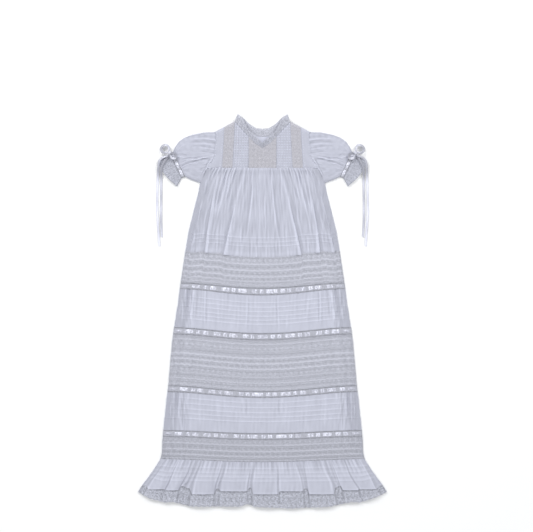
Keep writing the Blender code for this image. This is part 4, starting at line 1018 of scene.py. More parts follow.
def floor_finish(name, colour):
    """Plain pale studio paper."""
    finish = Finish(name, {"Specular IOR Level": 0.1})
    spot = finish.node("ShaderNodeTexCoord", None, None, 3)
    grain = finish.node("ShaderNodeTexNoise", None, {"Vector": spot, "Scale": 60.0})
    finish.shade(
        Base_Color=finish.blend(grain, paler(colour, 0.995), paler(colour, 1.0)),
        Roughness=0.9 + grain * 0.05,
    )
    return finish.made


class Finishes:
    """The gown's materials, each made when it is first asked for."""

    made = {}

    @classmethod
    def get(cls, name):
        """A finish by name, in the colours that the user chose."""
        if name in cls.made:
            return cls.made[name]
        colours = bpy.context.scene.gown_colours
        if name in LACE_ROWS:
            top = SEAMS[{"1": "tier_1", "2": "beading_2", "3": "beading_4"}[name[-1]]][1]
            rows = [
                ((down - top) * GRID, height * GRID, length * GRID, thickness * GRID)
                for down, height, length, thickness in LACE_ROWS[name]
            ]
            sprigs = [
                ((down - top) * GRID, apart * GRID, radius * GRID, petals)
                for down, apart, radius, petals in LACE_SPRIGS[name]
            ]
            painted_shadow_lines = [(down - top) * GRID for down in LACE_PAINTED_SHADOW_LINES[name]]
            pale = 0.93 if name == "lace_band_3" else 1.0
            made = lace_finish(
                name, paler(colours.lace, pale)[:3], rows, sprigs, painted_shadow_lines=painted_shadow_lines
            )
        elif name == "edging":
            made = lace_finish(
                name, colours.edging,
                ((0.005, 0.0012, 0.011, 0.0016), (0.0135, 0.0016, 0.0085, 0.0018),
                 (0.024, 0.0018, 0.012, 0.0018), (0.034, 0.0018, 0.009, 0.0018)),
                ((0.0095, 0.0095, 0.0036, 5), (0.0190, 0.0120, 0.0042, 4),
                 (0.0290, 0.0105, 0.0036, 5)), leaves=0.9, span=(0.66, 1.50),
            )
        elif name == "frill":
            made = lace_finish(
                name, paler(colours.edging, 1.10)[:3],
                ((0.004, 0.0008, 0.007, 0.0012), (0.020, 0.0012, 0.008, 0.0016)),
                ((0.0115, 0.0088, 0.0036, 5), (0.0165, 0.0070, 0.0024, 4)), leaves=0.6,
                span=(0.88, 1.20),
            )
        elif name == "collar":
            made = lace_finish(
                name, colours.lace,
                ((0.0022, 0.0004, 0.005, 0.0010), (0.0125, 0.0010, 0.0062, 0.0014)),
                ((0.0072, 0.0072, 0.0028, 5),), 0.0019, 0.72, 0.6,
            )
        elif name == "cream_lace":
            made = lace_finish(
                name, colours.cream_lace, (),
                tuple((0.017 + 0.0082 * k, 0.0086, 0.0033, 4 + k % 2) for k in range(14)),
                0.0019, 0.86, 0.3,
            )
        elif name == "beading":
            made = beading_finish(name, paler(colours.lace, 0.92)[:3], BEADING_DEPTH)
        elif name == "tucked":
            made = tucked_finish(name, colours.lawn)
        elif name == "ladder":
            made = tucked_finish(name, colours.lawn, (0.0042, 0.0242))
        elif name == "satin":
            made = satin_finish(name, colours.ribbon, 1.0, 0.64)
        elif name == "silk":
            made = satin_finish(name, colours.ribbon, 0.12, 0.48)
        elif name == "pearl":
            made = pearl_finish(name, colours.button)
        elif name == "thread":
            made = thread_finish(name, colours.lawn)
        elif name == "floor":
            made = floor_finish(name, colours.floor)
        else:
            made = lawn_finish("lawn", colours.lawn)
        cls.made[name] = made
        return made


# Pieces


def make_stage(context):
    """The floor, the lights and the camera."""
    settings = context.scene.gown_stage
    mesh = bpy.data.meshes.new("floor")
    span = settings.floor_span
    corners = [(-span, -span), (span, -span), (span, span), (-span, span)]
    mesh.from_pydata([(x, y, settings.floor_level) for x, y in corners], [], [(0, 1, 2, 3)])
    mesh.materials.append(Finishes.get("floor"))
    floor = bpy.data.objects.new("floor", mesh)
    context.scene.collection.objects.link(floor)
    world = bpy.data.worlds.new("studio")
    world.use_nodes = True
    world.node_tree.nodes["Background"].inputs["Color"].default_value = (0.95, 0.97, 1.0, 1.0)
    world.node_tree.nodes["Background"].inputs["Strength"].default_value = settings.sky
    context.scene.world = world
    for name, spot, size, power in (
        ("key", (-2.0, 2.8, 2.2), 1.4, settings.key),
        ("second", (2.2, 2.2, 2.2), 1.4, settings.second),
        ("fill", (-0.6, -3.0, 3.0), 2.0, settings.fill),
    ):
        light = bpy.data.lights.new(name, "AREA")
        light.energy = power
        light.size = size
        lamp = bpy.data.objects.new(name, light)
        lamp.location = spot
        aim = np.array((0.0, 0.0, 0.0)) - np.array(spot)
        flat = math.hypot(aim[0], aim[1])
        lamp.rotation_euler = (
            math.atan2(flat, -aim[2]), 0.0, math.atan2(aim[1], aim[0]) - 0.5 * math.pi
        )
        context.scene.collection.objects.link(lamp)
    camera = bpy.data.cameras.new("camera")
    camera.lens = settings.lens
    camera.sensor_width = 36.0
    view = bpy.data.objects.new("camera", camera)
    view.location = (settings.across, settings.along, settings.height)
    context.scene.collection.objects.link(view)
    context.scene.camera = view
    context.scene.view_settings.view_transform = "Standard"


def make_streamers():
    """The two free ends of each cuff's bow, lying beside the skirt."""
    for label, table in STREAMERS.items():
        route = [tuple(points_at(*row)) for row in table]
        path, length = smooth_route(route, 0.0022)
        for side, mirror in SIDES:
            here = path * np.array((mirror, 1.0, 1.0))
            along, level = route_axes(here)
            share = np.linspace(0.0, 1.0, len(here))
            roll = 0.50 * np.sin(9.0 * share + (1.0 if label == "outer" else 2.4))
            roll = roll * (1.0 - smooth(0.0, 0.25, share) * 0.55) * smooth(0.0, 0.05, share)
            rise = np.cross(along, level) * mirror
            rise *= np.sign(rise[:, 2:])
            flat = level * np.cos(roll)[:, None] + rise * np.sin(roll)[:, None]
            out = rise * np.cos(roll)[:, None] - level * np.sin(roll)[:, None]
            ring = ((-1.0, 0.2), (-0.5, 0.5), (0.0, 0.6), (0.5, 0.5), (1.0, 0.2),
                    (1.0, -0.2), (0.5, -0.5), (0.0, -0.4), (-0.5, -0.5), (-1.0, -0.2))
            columns = []
            for a, b in ring:
                slant = 0.0016 * a * smooth(0.985, 1.0, share)
                columns.append(
                    here + flat * (a * 0.5 * STREAMER_WIDTH)
                    + out * (b * 0.5 * STREAMER_THICKNESS) + along * slant[:, None]
                )
            spots = np.stack(columns, axis=1)
            lift = np.minimum(0.0, spots[:, :, 2].min(axis=1) - 0.0001)
            spots[:, :, 2] -= lift[:, None]
            run = share * length
            # Painted light and shade: the inner streamer darker than the outer, painted shade at the
            # head near the bow, and painted bands of light and shade along its length.
            level_painted_shading = 0.35 if label == "outer" else -0.45
            streamer_painted_shading = level_painted_shading - 1.4 * (1.0 - smooth(0.18, 0.36, share))
            streamer_painted_shading = streamer_painted_shading + 0.30 * np.sin(21.0 * share)
            width = np.array([0.5 + 0.5 * a for a, _ in ring] + [0.0])
            marks = np.stack(np.broadcast_arrays(run[:, None], width[None, :]), axis=-1)
            node = f"streamer_{label}_{side}"
            piece = lay_cloth(
                f"{node}_satin", spots, marks, Finishes.get("silk"), True, mirror < 0,
                np.repeat(streamer_painted_shading[:, None], len(ring), 1),
            )
            dress(piece, node)
            centres = here - np.stack([0 * lift, 0 * lift, lift], axis=1)
            tuple(centres[0])
            [tuple(map(float, point)) for point in centres]


def make_tiers():
    """The gathered first tier and the two flat tiers, with their tucks."""
    # The last column darkens the whole tier as painted shade.
    for name, top, foot, tucks, table, step, columns, level in (
        ("tier_1", "yoke", "tier_1", TIER_1_TUCKS, TIER_1_CREASES, 0.62, 380, -0.35),
        ("tier_2", "beading_1", "tier_2", TIER_2_TUCKS, TIER_2_CREASES, 0.70, 330, 0.0),
        ("tier_3", "beading_3", "tier_3", TIER_3_TUCKS, TIER_3_CREASES, 0.70, 340, -0.08),
    ):
        first = name == "tier_1"
        place, half = band(top, foot, front_foot=tier_1_edge if first else None)
        start, end = SEAMS[top][1], SEAMS[foot][1]
        downs = tuck_downs(start, end, tucks, step)
        rows = (downs - start) / (end - start)
        tuck = tuck_relief(downs, tucks)[:, None]

        def lift(u, v, first=first, start=start, end=end, tuck=tuck, table=table, half=half):
            down = lerp(start, end, v)
            x, y = u * half(v) / GRID, down
            if first:
                height = np.maximum(gather_height(u, down), pleat_height(u, down))
                height = height + YOKE_STEP * (1.0 - smooth(54.0, 60.0, down))
                soft = 0.0002 * ripple(x, y, 13.0, 21, 3.0)
                soft = soft + 0.00022 * ripple(x / half(v) * 0.17, y, 3.2, 23, 9.0)
            else:
                height = soft_fold_height(u, down)
                soft = 0.0
            edge = smooth(0.76, 0.93, np.abs(u))
            crumple = (0.00022 + 0.00060 * edge) * ripple(x, y, 4.6, 31, 4.5)
            return height + soft + crumple + creases(-np.abs(x), y, table) + TUCK_SHOWN * tuck

        # Painted light and shade for this tier: paler crease ridges and darker troughs, painted
        # shade where the sides round away, painted crumples at the sides, painted bands along the
        # first tier's gathers, and paler tucks, partly from their extra layers of lawn and partly as
        # painted highlight.
        across, along = np.meshgrid(np.linspace(-1.0, 1.0, columns), lerp(start, end, rows))
        spots_x = -np.abs(across) * half((along - start) / (end - start)) / GRID
        folds = np.clip(creases(spots_x, along, table) / 0.0016, -1.0, 1.0)
        sides = smooth(0.80, 0.96, np.abs(across))
        if first:
            folds = folds * lerp(1.1, 0.6, smooth(0.45, 0.75, np.abs(across)))
            folds = folds + 0.36 * ripple(across * 0.17 / GRID, along, 3.2, 23, 9.0)
            shading = level + 0.46 * tuck + folds - 0.7 * sides
        else:
            crumpled = smooth(0.70, 0.84, np.abs(across))
            folds = folds * lerp(0.36, 0.90, crumpled)
            folds = folds + 0.50 * crumpled * ripple(spots_x, along, 2.6, 35, 7.0)
            shading = level + lerp(0.70, 0.20, crumpled) * tuck + folds - 1.3 * sides
        # Random uneven tone, and a darker painted edge on the last rows.
        uneven = ripple(spots_x, along, 16.0, 33, 2.0)
        shading = shading + 0.12 * uneven - 0.3 * smooth(0.975, 1.0, rows)[:, None]
        if first:
            # Painted highlight and shade along the pleats, a painted paler foot, and a paler band
            # just under the yoke.
            shading = shading + pleat_shade(across, along) + 0.35 * smooth(0.93, 0.96, rows)[:, None]
            shading = shading + 0.4 * (1.0 - smooth(54.5, 56.5, along))
        piece = pressed_tube(
            f"{name}_cloth", place, half, columns, rows, lift, Finishes.get("lawn"),
            extra_painted_shading=shading,
        )
        dress(piece, name)


def make_lace_bands():
    """The three lace bands of the skirt."""
    for name, top, foot in (
        ("lace_band_1", "tier_1", "lace_1"),
        ("lace_band_2", "beading_2", "lace_2"),
        ("lace_band_3", "beading_4", "lace_3"),
    ):
        first = name == "lace_band_1"
        place, half = band(top, foot, front_top=tier_1_edge if first else None)
        start, end = SEAMS[top][1], SEAMS[foot][1]
        rows = np.linspace(0.0, 1.0, int(round((end - start) / 0.55)) + 1)

        def lift(u, v, start=start, end=end, half=half, name=name, first=first):
            down = lerp(start, end, v)
            x = u * half(v) / GRID
            height = soft_fold_height(u, down)
            for centre, wave, length, thickness in LACE_ROWS[name]:
                off = down - centre - wave * np.sin(2.0 * math.pi * x / length)
                ridge = np.exp(-((off / (0.75 * thickness)) ** 2))
                height = height + LACE_ROW_HEIGHT * min(1.0, thickness) * ridge
            if first:
                sunk = pleat_height(u, np.full_like(down, start)) * (1.0 - smooth(0.0, 0.55, v))
                height = height + 0.55 * sunk
            edge = smooth(0.66, 0.92, np.abs(u))
            crumple = (0.00018 + 0.00050 * edge) * ripple(x, down, 6.0, 41, 2.2)
            return height + crumple

        # Painted shade where the band's sides round away.
        piece = pressed_tube(
            f"{name}_net", place, half, 300, rows, lift, Finishes.get(name),
            extra_painted_shading=-0.5 * smooth(0.84, 0.99, np.abs(np.linspace(-1.0, 1.0, 300)))[None, :],
        )
        dress(piece, name)


def ribbon_phase(u, patches):
    """How far through its patch the ribbon is, and the patch's number. The
    patches differ in length."""
    run = (u + RIBBON_END) / (2.0 * RIBBON_END) * patches
    run = run + 0.26 * np.sin(2.3 * run) * (1.0 - (u / RIBBON_END) ** 4)
    number = np.clip(np.floor(run), 0, patches - 1)
    return run - number, number


def ribbon_hump(phase):
    """1 where the ribbon puffs out of its slot and 0 where it is under a bar."""
    inside = np.clip((phase - 0.10) / 0.76, 0.0, 1.0)
    return np.sin(math.pi * inside) ** 0.55


def make_beadings():
    """The four bands of beading and the ribbons that run through them."""
    for number, top, foot in (
        (1, "lace_1", "beading_1"), (2, "tier_2", "beading_2"),
        (3, "lace_2", "beading_3"), (4, "tier_3", "beading_4"),
    ):
        place, half = band(top, foot)
        start, end = SEAMS[top][1], SEAMS[foot][1]
        patches = int(round(2.0 * half(0.5) / GRID / RIBBON_PITCH))
        rows = np.array((0.0, 0.03, 0.07, 0.12, 0.18, 0.26, 0.38, 0.5, 0.62, 0.74, 0.82,
                         0.88, 0.93, 0.97, 1.0))
        cord = corded(rows, (0.0, 0.03, 0.07, 0.12, 0.88, 0.93, 0.97, 1.0))

        def lift(u, v, patches=patches, start=start, end=end, cord=cord):
            phase, _ = ribbon_phase(u, patches)
            bar = np.exp(-((np.minimum(phase, 1.0 - phase) / 0.085) ** 2))
            across = np.clip(1.0 - np.abs(2.0 * v - 1.0) ** 4, 0.0, 1.0)
            inside = (np.abs(u) < RIBBON_END).astype(float)
            bed = soft_fold_height(u, lerp(start, end, v))
            return bed + 0.0005 * cord + 0.0011 * bar * across * inside

        strip = pressed_tube(
            f"beading_{number}_net", place, half, 460, rows, lift, Finishes.get("beading"),
            along=lambda v: BEADING_DEPTH * v,
        )
        dress(strip, f"beading_{number}")
        columns = np.linspace(-RIBBON_END, RIBBON_END, 20 * patches + 1)
        across_ribbon = np.linspace(0.0, 1.0, 9)
        dice = np.random.default_rng(60 + number)
        puff = dice.uniform(0.45, 1.0, patches)
        puff = np.where(dice.uniform(0.0, 1.0, patches) < 0.45, 0.25, puff)
        turn = dice.uniform(0.0, 2.0 * math.pi, patches)
        lean = dice.uniform(-0.35, 0.35, patches)

        def ribbon_place(u, v, place=place, patches=patches):
            phase, _ = ribbon_phase(u, patches)
            hump = ribbon_hump(phase)
            width = (0.34 + 0.17 * hump) * (1.0 - 0.4 * smooth(0.84, 0.94, np.abs(u)))
            return place(u, 0.5 + (v - 0.5) * width * 1.08, True)

        def ribbon_height(u, v, patches=patches, start=start, end=end, puff=puff, turn=turn,
                          lean=lean):
            phase, which = ribbon_phase(u, patches)
            which = which.astype(int)
            hump = ribbon_hump(phase)
            crown = 1.0 - np.abs(2.0 * v - 1.0) ** 3
            pleat = np.sin(2.0 * math.pi * (2.4 * phase + lean[which] * (v - 0.5)) + turn[which])
            height = soft_fold_height(u, lerp(start, end, 0.5)) + FLAT_HEIGHT
            rise = 0.0004 + 0.0013 * puff[which] * crown + 0.00042 * pleat * crown
            return height + hump * rise - (1.0 - hump) * 0.0004

        def ribbon_marks(u, v, half=half):
            return u * half(0.5), v

        def ribbon_painted_shading(u, v, patches=patches, puff=puff, turn=turn, lean=lean):
            # Painted light and shade on the ribbon: along its pleats, paler on puffed patches and at
            # their rims, painted shade where it dips under the bars and near the band's ends.
            phase, which = ribbon_phase(u, patches)
            which = which.astype(int)
            pleat = np.sin(2.0 * math.pi * (2.4 * phase + lean[which] * (v - 0.5)) + turn[which])
            painted_end_shade = 1.6 * smooth(0.84, 0.90, np.abs(u))
            painted_shade_under_bars = 0.8 * (1.0 - ribbon_hump(phase))
            painted_rim_shading = 0.8 * np.abs(2.0 * v - 1.0) ** 3 + 0.6 * np.exp(-(((phase - 0.2) / 0.06) ** 2))
            return 0.6 * pleat + 1.6 * (puff[which] - 0.70) + painted_rim_shading - painted_shade_under_bars - painted_end_shade

        ribbon = flat_panel(
            f"ribbon_{number}_satin", ribbon_place, columns, across_ribbon, ribbon_height,
            Finishes.get("satin"), marks=ribbon_marks, extra_painted_shading=ribbon_painted_shading,
        )
        dress(ribbon, f"ribbon_{number}")
        4.0 * float(half(0.5)) * 1.01


def flute_table():
    """The ruffle's columns and its foot at each, as places and downs."""
    places, feet = [-1.0], [SEAMS["ruffle"][0]]
    for left, right, foot, _ in FLUTES:
        stations = (0.05, 0.30, 0.70, 0.95) if right - left > WIDE_FLUTE else (0.25, 0.75)
        for t in stations:
            places.append(lerp(left, right, t) / FLUTE_FOOT_HALF)
            feet.append(foot)
    return places + [1.0], feet + [SEAMS["ruffle"][0]]


FLUTE_PLACES, FLUTE_FEET = flute_table()


def ruffle_foot(u):
    """Down of the ruffle's lower edge."""
    return np.interp(u, FLUTE_PLACES, FLUTE_FEET)


def flute_form(u):
    """Height of the flute at a place, and the share of the way across it."""
    edges = np.array([row[0] for row in FLUTES] + [FLUTES[-1][1]]) / FLUTE_FOOT_HALF
    which = np.clip(np.searchsorted(edges, u, side="right") - 1, 0, len(FLUTES) - 1)
    share = np.clip((u - edges[which]) / (edges[which + 1] - edges[which]), 0.0, 1.0)
    rise = np.array([row[3] for row in FLUTES])[which]
    return rise, share


def flute_shade(u, v):
    """Darker where a flute turns under and paler just inside its edge."""
    rise, share = flute_form(u + 0.006 * np.sin(5.0 * v + 23.0 * u))
    near = np.minimum(share, 1.0 - share)
    wide = (rise > 0.003).astype(float)
    pale = np.exp(-(((near - 0.085) / 0.035) ** 2)) * wide
    dark = np.exp(-((near / 0.032) ** 2)) * wide + 0.35 * (1.0 - wide)
    uneven = 0.65 + 0.35 * np.sin(17.0 * u + 6.0 * v)
    return (0.75 * pale * uneven - 1.0 * dark) * smooth(0.0, 0.35, v + 0.10 * uneven)


def make_ruffle():
    """The gathered ruffle, fluted over the lace sewn to its edge."""
    place, half = band("lace_3", "ruffle", front_foot=ruffle_foot, straight=375.5)
    shares = list(np.linspace(0.0, 1.0, 46))
    for edge in RUFFLE_TUCKS:
        shares += [edge + shift for shift in (-0.075, -0.070, -0.018, -0.003, 0.002)]
    rows = np.array(sorted(set(round(float(share), 4) for share in shares)))
    tuck = np.zeros_like(rows)
    for edge in RUFFLE_TUCKS:
        knots = (edge - 0.075, edge - 0.070, edge - 0.018, edge - 0.003, edge + 0.002)
        tuck = np.maximum(tuck, np.interp(rows, knots, (0.0, 0.35, 1.0, 0.8, 0.0)))
    tuck = tuck[:, None]

    def lift(u, v):
        rise, share = flute_form(u + 0.006 * np.sin(5.0 * v + 23.0 * u))
        form = np.sin(math.pi * share) ** 0.55
        depth = smooth(0.0, 0.9, v)
        x, down = u * half(v) / GRID, lerp(347.5, 374.0, v)
        gather = 0.5 + 0.5 * np.cos(52.0 * math.pi * u + 1.2 * np.sin(7.0 * u))
        small = 0.5 + 0.5 * np.cos(121.0 * math.pi * u + 1.6 * np.sin(11.0 * u))
        fade = (1.0 - v) ** 2
        wrinkle = 0.00045 * ripple(x, down, 5.0, 71, 2.8) * (0.4 + 0.6 * v)
        lean = 0.0007 * np.sin(2.0 * math.pi * share + 3.0 * u) * depth
        rolls = rise * form * depth
        gathers = (0.0013 * gather + 0.0005 * small) * fade
        return rolls + gathers + wrinkle + lean + TUCK_SHOWN * tuck

    places, shares = np.meshgrid(np.linspace(-1.0, 1.0, RUFFLE_COLUMNS), rows)
    # Painted light and shade for the ruffle: paler tucks, partly from their layers and partly as
    # painted highlight, the flutes' painted shade, an overall darker level, painted bands along the
    # gathers at its head, and a painted paler foot.
    gathers = np.sin(83.0 * places + 3.0 * np.sin(19.0 * places) + 1.5 * shares)
    gathers = gathers + 0.7 * np.sin(171.0 * places + 2.0 * np.sin(31.0 * places))
    shading = 0.42 * tuck + flute_shade(places, shares) - 0.2
    shading = shading + 0.45 * gathers * (1.0 - smooth(0.08, 0.55, shares))
    shading = shading + 0.4 * smooth(0.93, 0.96, shares)
    ruffle = pressed_tube(
        "ruffle_cloth", place, half, RUFFLE_COLUMNS, rows, lift, Finishes.get("lawn"),
        extra_painted_shading=shading,
    )
    dress(ruffle, "ruffle")

    def hem_foot(u):
        scallop = 0.45 * np.abs(np.sin(math.pi * u * half(1.0) / 0.012))
        return read(HEM_EDGE, u) + scallop * smooth(0.0, 0.04, 1.0 - np.abs(u))

    hem_place, hem_half = band("ruffle", "hem", front_top=ruffle_foot, front_foot=hem_foot)

    def hem_lift(u, v):
        rise, share = flute_form(u)
        form = np.sin(math.pi * share) ** 0.6
        x, down = u * hem_half(v) / GRID, lerp(374.0, 388.0, v)
        rows_high = np.exp(-(((v - 0.30) / 0.09) ** 2)) + np.exp(-(((v - 0.84) / 0.09) ** 2))
        wave = 0.0006 * ripple(x, down, 6.0, 81, 1.6)
        return rise * form * 0.82 + LACE_ROW_HEIGHT * rows_high + wave * (0.4 + 0.6 * v)

    hem_places, hem_shares = np.meshgrid(
        np.linspace(-1.0, 1.0, RUFFLE_COLUMNS), np.linspace(0.0, 1.0, 30)
    )
    # Painted shade from the flutes, and painted shadow along the top, under the ruffle's edge.
    hem_shading = 0.5 * flute_shade(hem_places, 1.0 + 0.0 * hem_shares)
    hem_shading = hem_shading - 1.2 * (1.0 - smooth(0.0, 0.16, hem_shares))
    hem = pressed_tube(
        "hem_lace_net", hem_place, hem_half, RUFFLE_COLUMNS, np.linspace(0.0, 1.0, 30), hem_lift,
        Finishes.get("edging"), extra_painted_shading=hem_shading,
    )
    dress(hem, "hem_lace")


def yoke_place(top, left, right, mirror):
    """Plan place of a yoke panel from its edges."""

    def place(u, v):
        across = lerp(read(left, v), read(right, v), u)
        start = read(top, lerp(read(left, 0.0), read(right, 0.0), u))
        return across * mirror, lerp(start, YOKE_HEM, v)

    return place


def shoulder_drop(v):
    """How the yoke's front turns down to its back along the shoulder."""
    return 0.0014 * (1.0 - smooth(0.0, 0.05, v))


def make_yoke():
    """The yoke's panels, front over back."""
    neck_whole = FRONT_NECK + tuple((-across, down) for across, down in FRONT_NECK[-2::-1])

    def tuck_form(u):
        phase = (u * YOKE_TUCKS - 0.15) % 1.0
        return np.interp(phase, (0.0, 0.10, 0.45, 0.56, 0.62, 1.0), (0.0, 0.3, 1.0, 0.9, 0.0, 0.0))

    def wrinkled(place, base, seed, size=9.0):
        def height(u, v):
            across, down = place(u, v)
            soft = 0.00022 * ripple(across, down, size, seed, 1.6)
            return base - shoulder_drop(v) + soft * np.minimum(1.0, 12.0 * np.minimum(v, 1.0 - v))

        return height

    for side, mirror in SIDES:
        flip = mirror < 0
        place = yoke_place(SHOULDER, ARMHOLE_EDGE, SIDE_SEAM, mirror)
        panel = flat_panel(
            f"yoke_side_{side}_cloth", place, np.linspace(0, 1, 30), np.linspace(0, 1, 90),
            wrinkled(place, YOKE_FRONT, 91), Finishes.get("ladder"), flip,
            marks=lambda u, v, place=place: (0.0285 * u, place(u, v)[1] * GRID),
        )
        dress(panel, f"yoke_side_{side}")

        place = yoke_place(SHOULDER, SIDE_SEAM, LACE_SEAM, mirror)
        flat = wrinkled(place, YOKE_FRONT + 0.0003, 92, 5.0)
        panel = flat_panel(
            f"yoke_lace_{side}_net", place, np.linspace(0, 1, 32), np.linspace(0, 1, 100),
            flat, Finishes.get("cream_lace"), flip,
        )
        dress(panel, f"yoke_lace_{side}")

        place = yoke_place(FRONT_NECK, LACE_SEAM, CENTRE_SEAM, mirror)
        flat = wrinkled(place, YOKE_FRONT, 93)

        def tucked(u, v, flat=flat):
            return flat(u, v) + TUCK_HEIGHT * tuck_form(u)

        panel = flat_panel(
            f"yoke_tucked_{side}_cloth", place, np.linspace(0, 1, 110), np.linspace(0, 1, 80),
            tucked, Finishes.get("tucked"), flip,
        )
        dress(panel, f"yoke_tucked_{side}")

        place = yoke_place(
            SHOULDER[:2] + BACK_NECK, ARMHOLE_EDGE, ((0.0, 0.0), (1.0, 0.0)), mirror
        )

        def back_height(u, v, place=place):
            across, down = place(u, v)
            return YOKE_BACK + 0.00018 * ripple(across, down, 8.0, 94, 1.5)

        # Painted light on the back, strongest near the neck.
        panel = flat_panel(
            f"yoke_back_{side}_cloth", place, np.linspace(0, 1, 70), np.linspace(0, 1, 60),
            back_height, Finishes.get("lawn"), flip,
            extra_painted_shading=lambda u, v: 0.2 + 0.8 * (1.0 - smooth(0.30, 0.50, v)),
        )
        dress(panel, f"yoke_back_{side}")
    place = yoke_place(neck_whole, ((0.0, -14.0), (1.0, -14.0)), ((0.0, 14.0), (1.0, 14.0)), 1.0)

    def centre_height(u, v):
        across, down = place(u, v)
        edge = np.minimum(1.0, 10.0 * np.minimum(v, 1.0 - v))
        return YOKE_FRONT + 0.0003 + 0.0002 * ripple(across, down, 5.0, 95) * edge

    panel = flat_panel(
        "yoke_lace_centre_net", place, np.linspace(0, 1, 80), np.linspace(0, 1, 60),
        centre_height, Finishes.get("cream_lace"),
        marks=lambda u, v: (place(u, v)[0] * GRID + 0.2, place(u, v)[1] * GRID),
    )
    dress(panel, "yoke_lace_centre")


def neck_point(table, share):
    """Places just above a neckline, shares of the way to the middle."""
    places = np.linspace(0.0, 1.0, len(table))
    across = np.interp(share, places, [row[0] for row in table])
    down = np.interp(share, places, [row[1] for row in table])
    return across, down - NECK_GAP


def make_collar():
    """The lace collar, a frilled band in front and two behind it."""

    def front_place(u, v):
        share = 1.0 - np.abs(u)
        neck_x, neck_y = neck_point(FRONT_NECK, share)
        across = lerp(neck_x, read(COLLAR_FRONT_FREE, share, 1), v)
        down = lerp(neck_y, read(COLLAR_FRONT_FREE, share, 2), v)
        scallop = 0.35 * np.abs(np.sin(34.0 * math.pi * u))
        frill = scallop + 0.45 * np.sin(19.0 * u + 1.0) * np.sin(31.0 * u)
        return np.where(u > 0, -1.0, 1.0) * across, down - frill * smooth(0.3, 1.0, v)

    def front_height(u, v):
        wave = 0.5 + 0.5 * np.cos(COLLAR_WAVES * math.pi * u)
        fine = 0.5 + 0.5 * np.cos(37.0 * math.pi * u + 2.0 * np.sin(5.0 * u))
        base = 0.0028 + COLLAR_RISE * smooth(0.0, 1.0, v) + 0.0012
        return base + (COLLAR_WAVE_HEIGHT * wave + 0.0011 * fine) * v

    # Painted light and shade: paler toward the free edge, painted bands of light and shade along the
    # frill, darker near the neck.
    front = flat_panel(
        "collar_front_net", front_place, np.linspace(-1, 1, 330), np.linspace(0, 1, 22),
        front_height, Finishes.get("collar"), marks=lambda u, v: (0.094 * u, 0.0155 * v),
        extra_painted_shading=lambda u, v: (
            0.9 * smooth(0.80, 0.92, v) + 0.5 * np.sin(43.0 * u + 6.0 * v) - 0.3 * (v < 0.1)
        ),
    )
    front.data.flip_normals()
    dress(front, "collar_front")
    for side, mirror in SIDES:

        def back_place(u, v, mirror=mirror):
            neck_x, neck_y = neck_point(BACK_NECK, u)
            across = lerp(neck_x, read(COLLAR_BACK_FREE, u, 1), v)
            scallop = 0.25 * np.abs(np.sin(17.0 * math.pi * u)) * smooth(0.8, 1.0, v)
            down = lerp(neck_y, read(COLLAR_BACK_FREE, u, 2), v) - scallop
            return across * mirror, down

        def back_height(u, v):
            fine = np.cos(31.0 * math.pi * u + 2.0 * np.sin(4.0 * u))
            return YOKE_BACK + 0.0002 + 0.0004 * fine * v

        back = flat_panel(
            f"collar_back_{side}_net", back_place, np.linspace(0, 1, 120),
            np.linspace(0, 1, 16), back_height, Finishes.get("collar"), mirror > 0,
            marks=lambda u, v: (0.066 * u, 0.0155 * v),
        )
        dress(back, f"collar_back_{side}")


def cuff_point(u, out):
    """A place on the cuff: u along it, out in squares past the sleeve's end."""
    top, foot = np.array(CUFF_TOP), np.array(CUFF_FOOT)
    along = (foot - top) / np.linalg.norm(foot - top)
    share = 0.5 * (u + 1.0)
    return (
        lerp(top[0], foot[0], share) - along[1] * out,
        lerp(top[1], foot[1], share) + along[0] * out,
    )


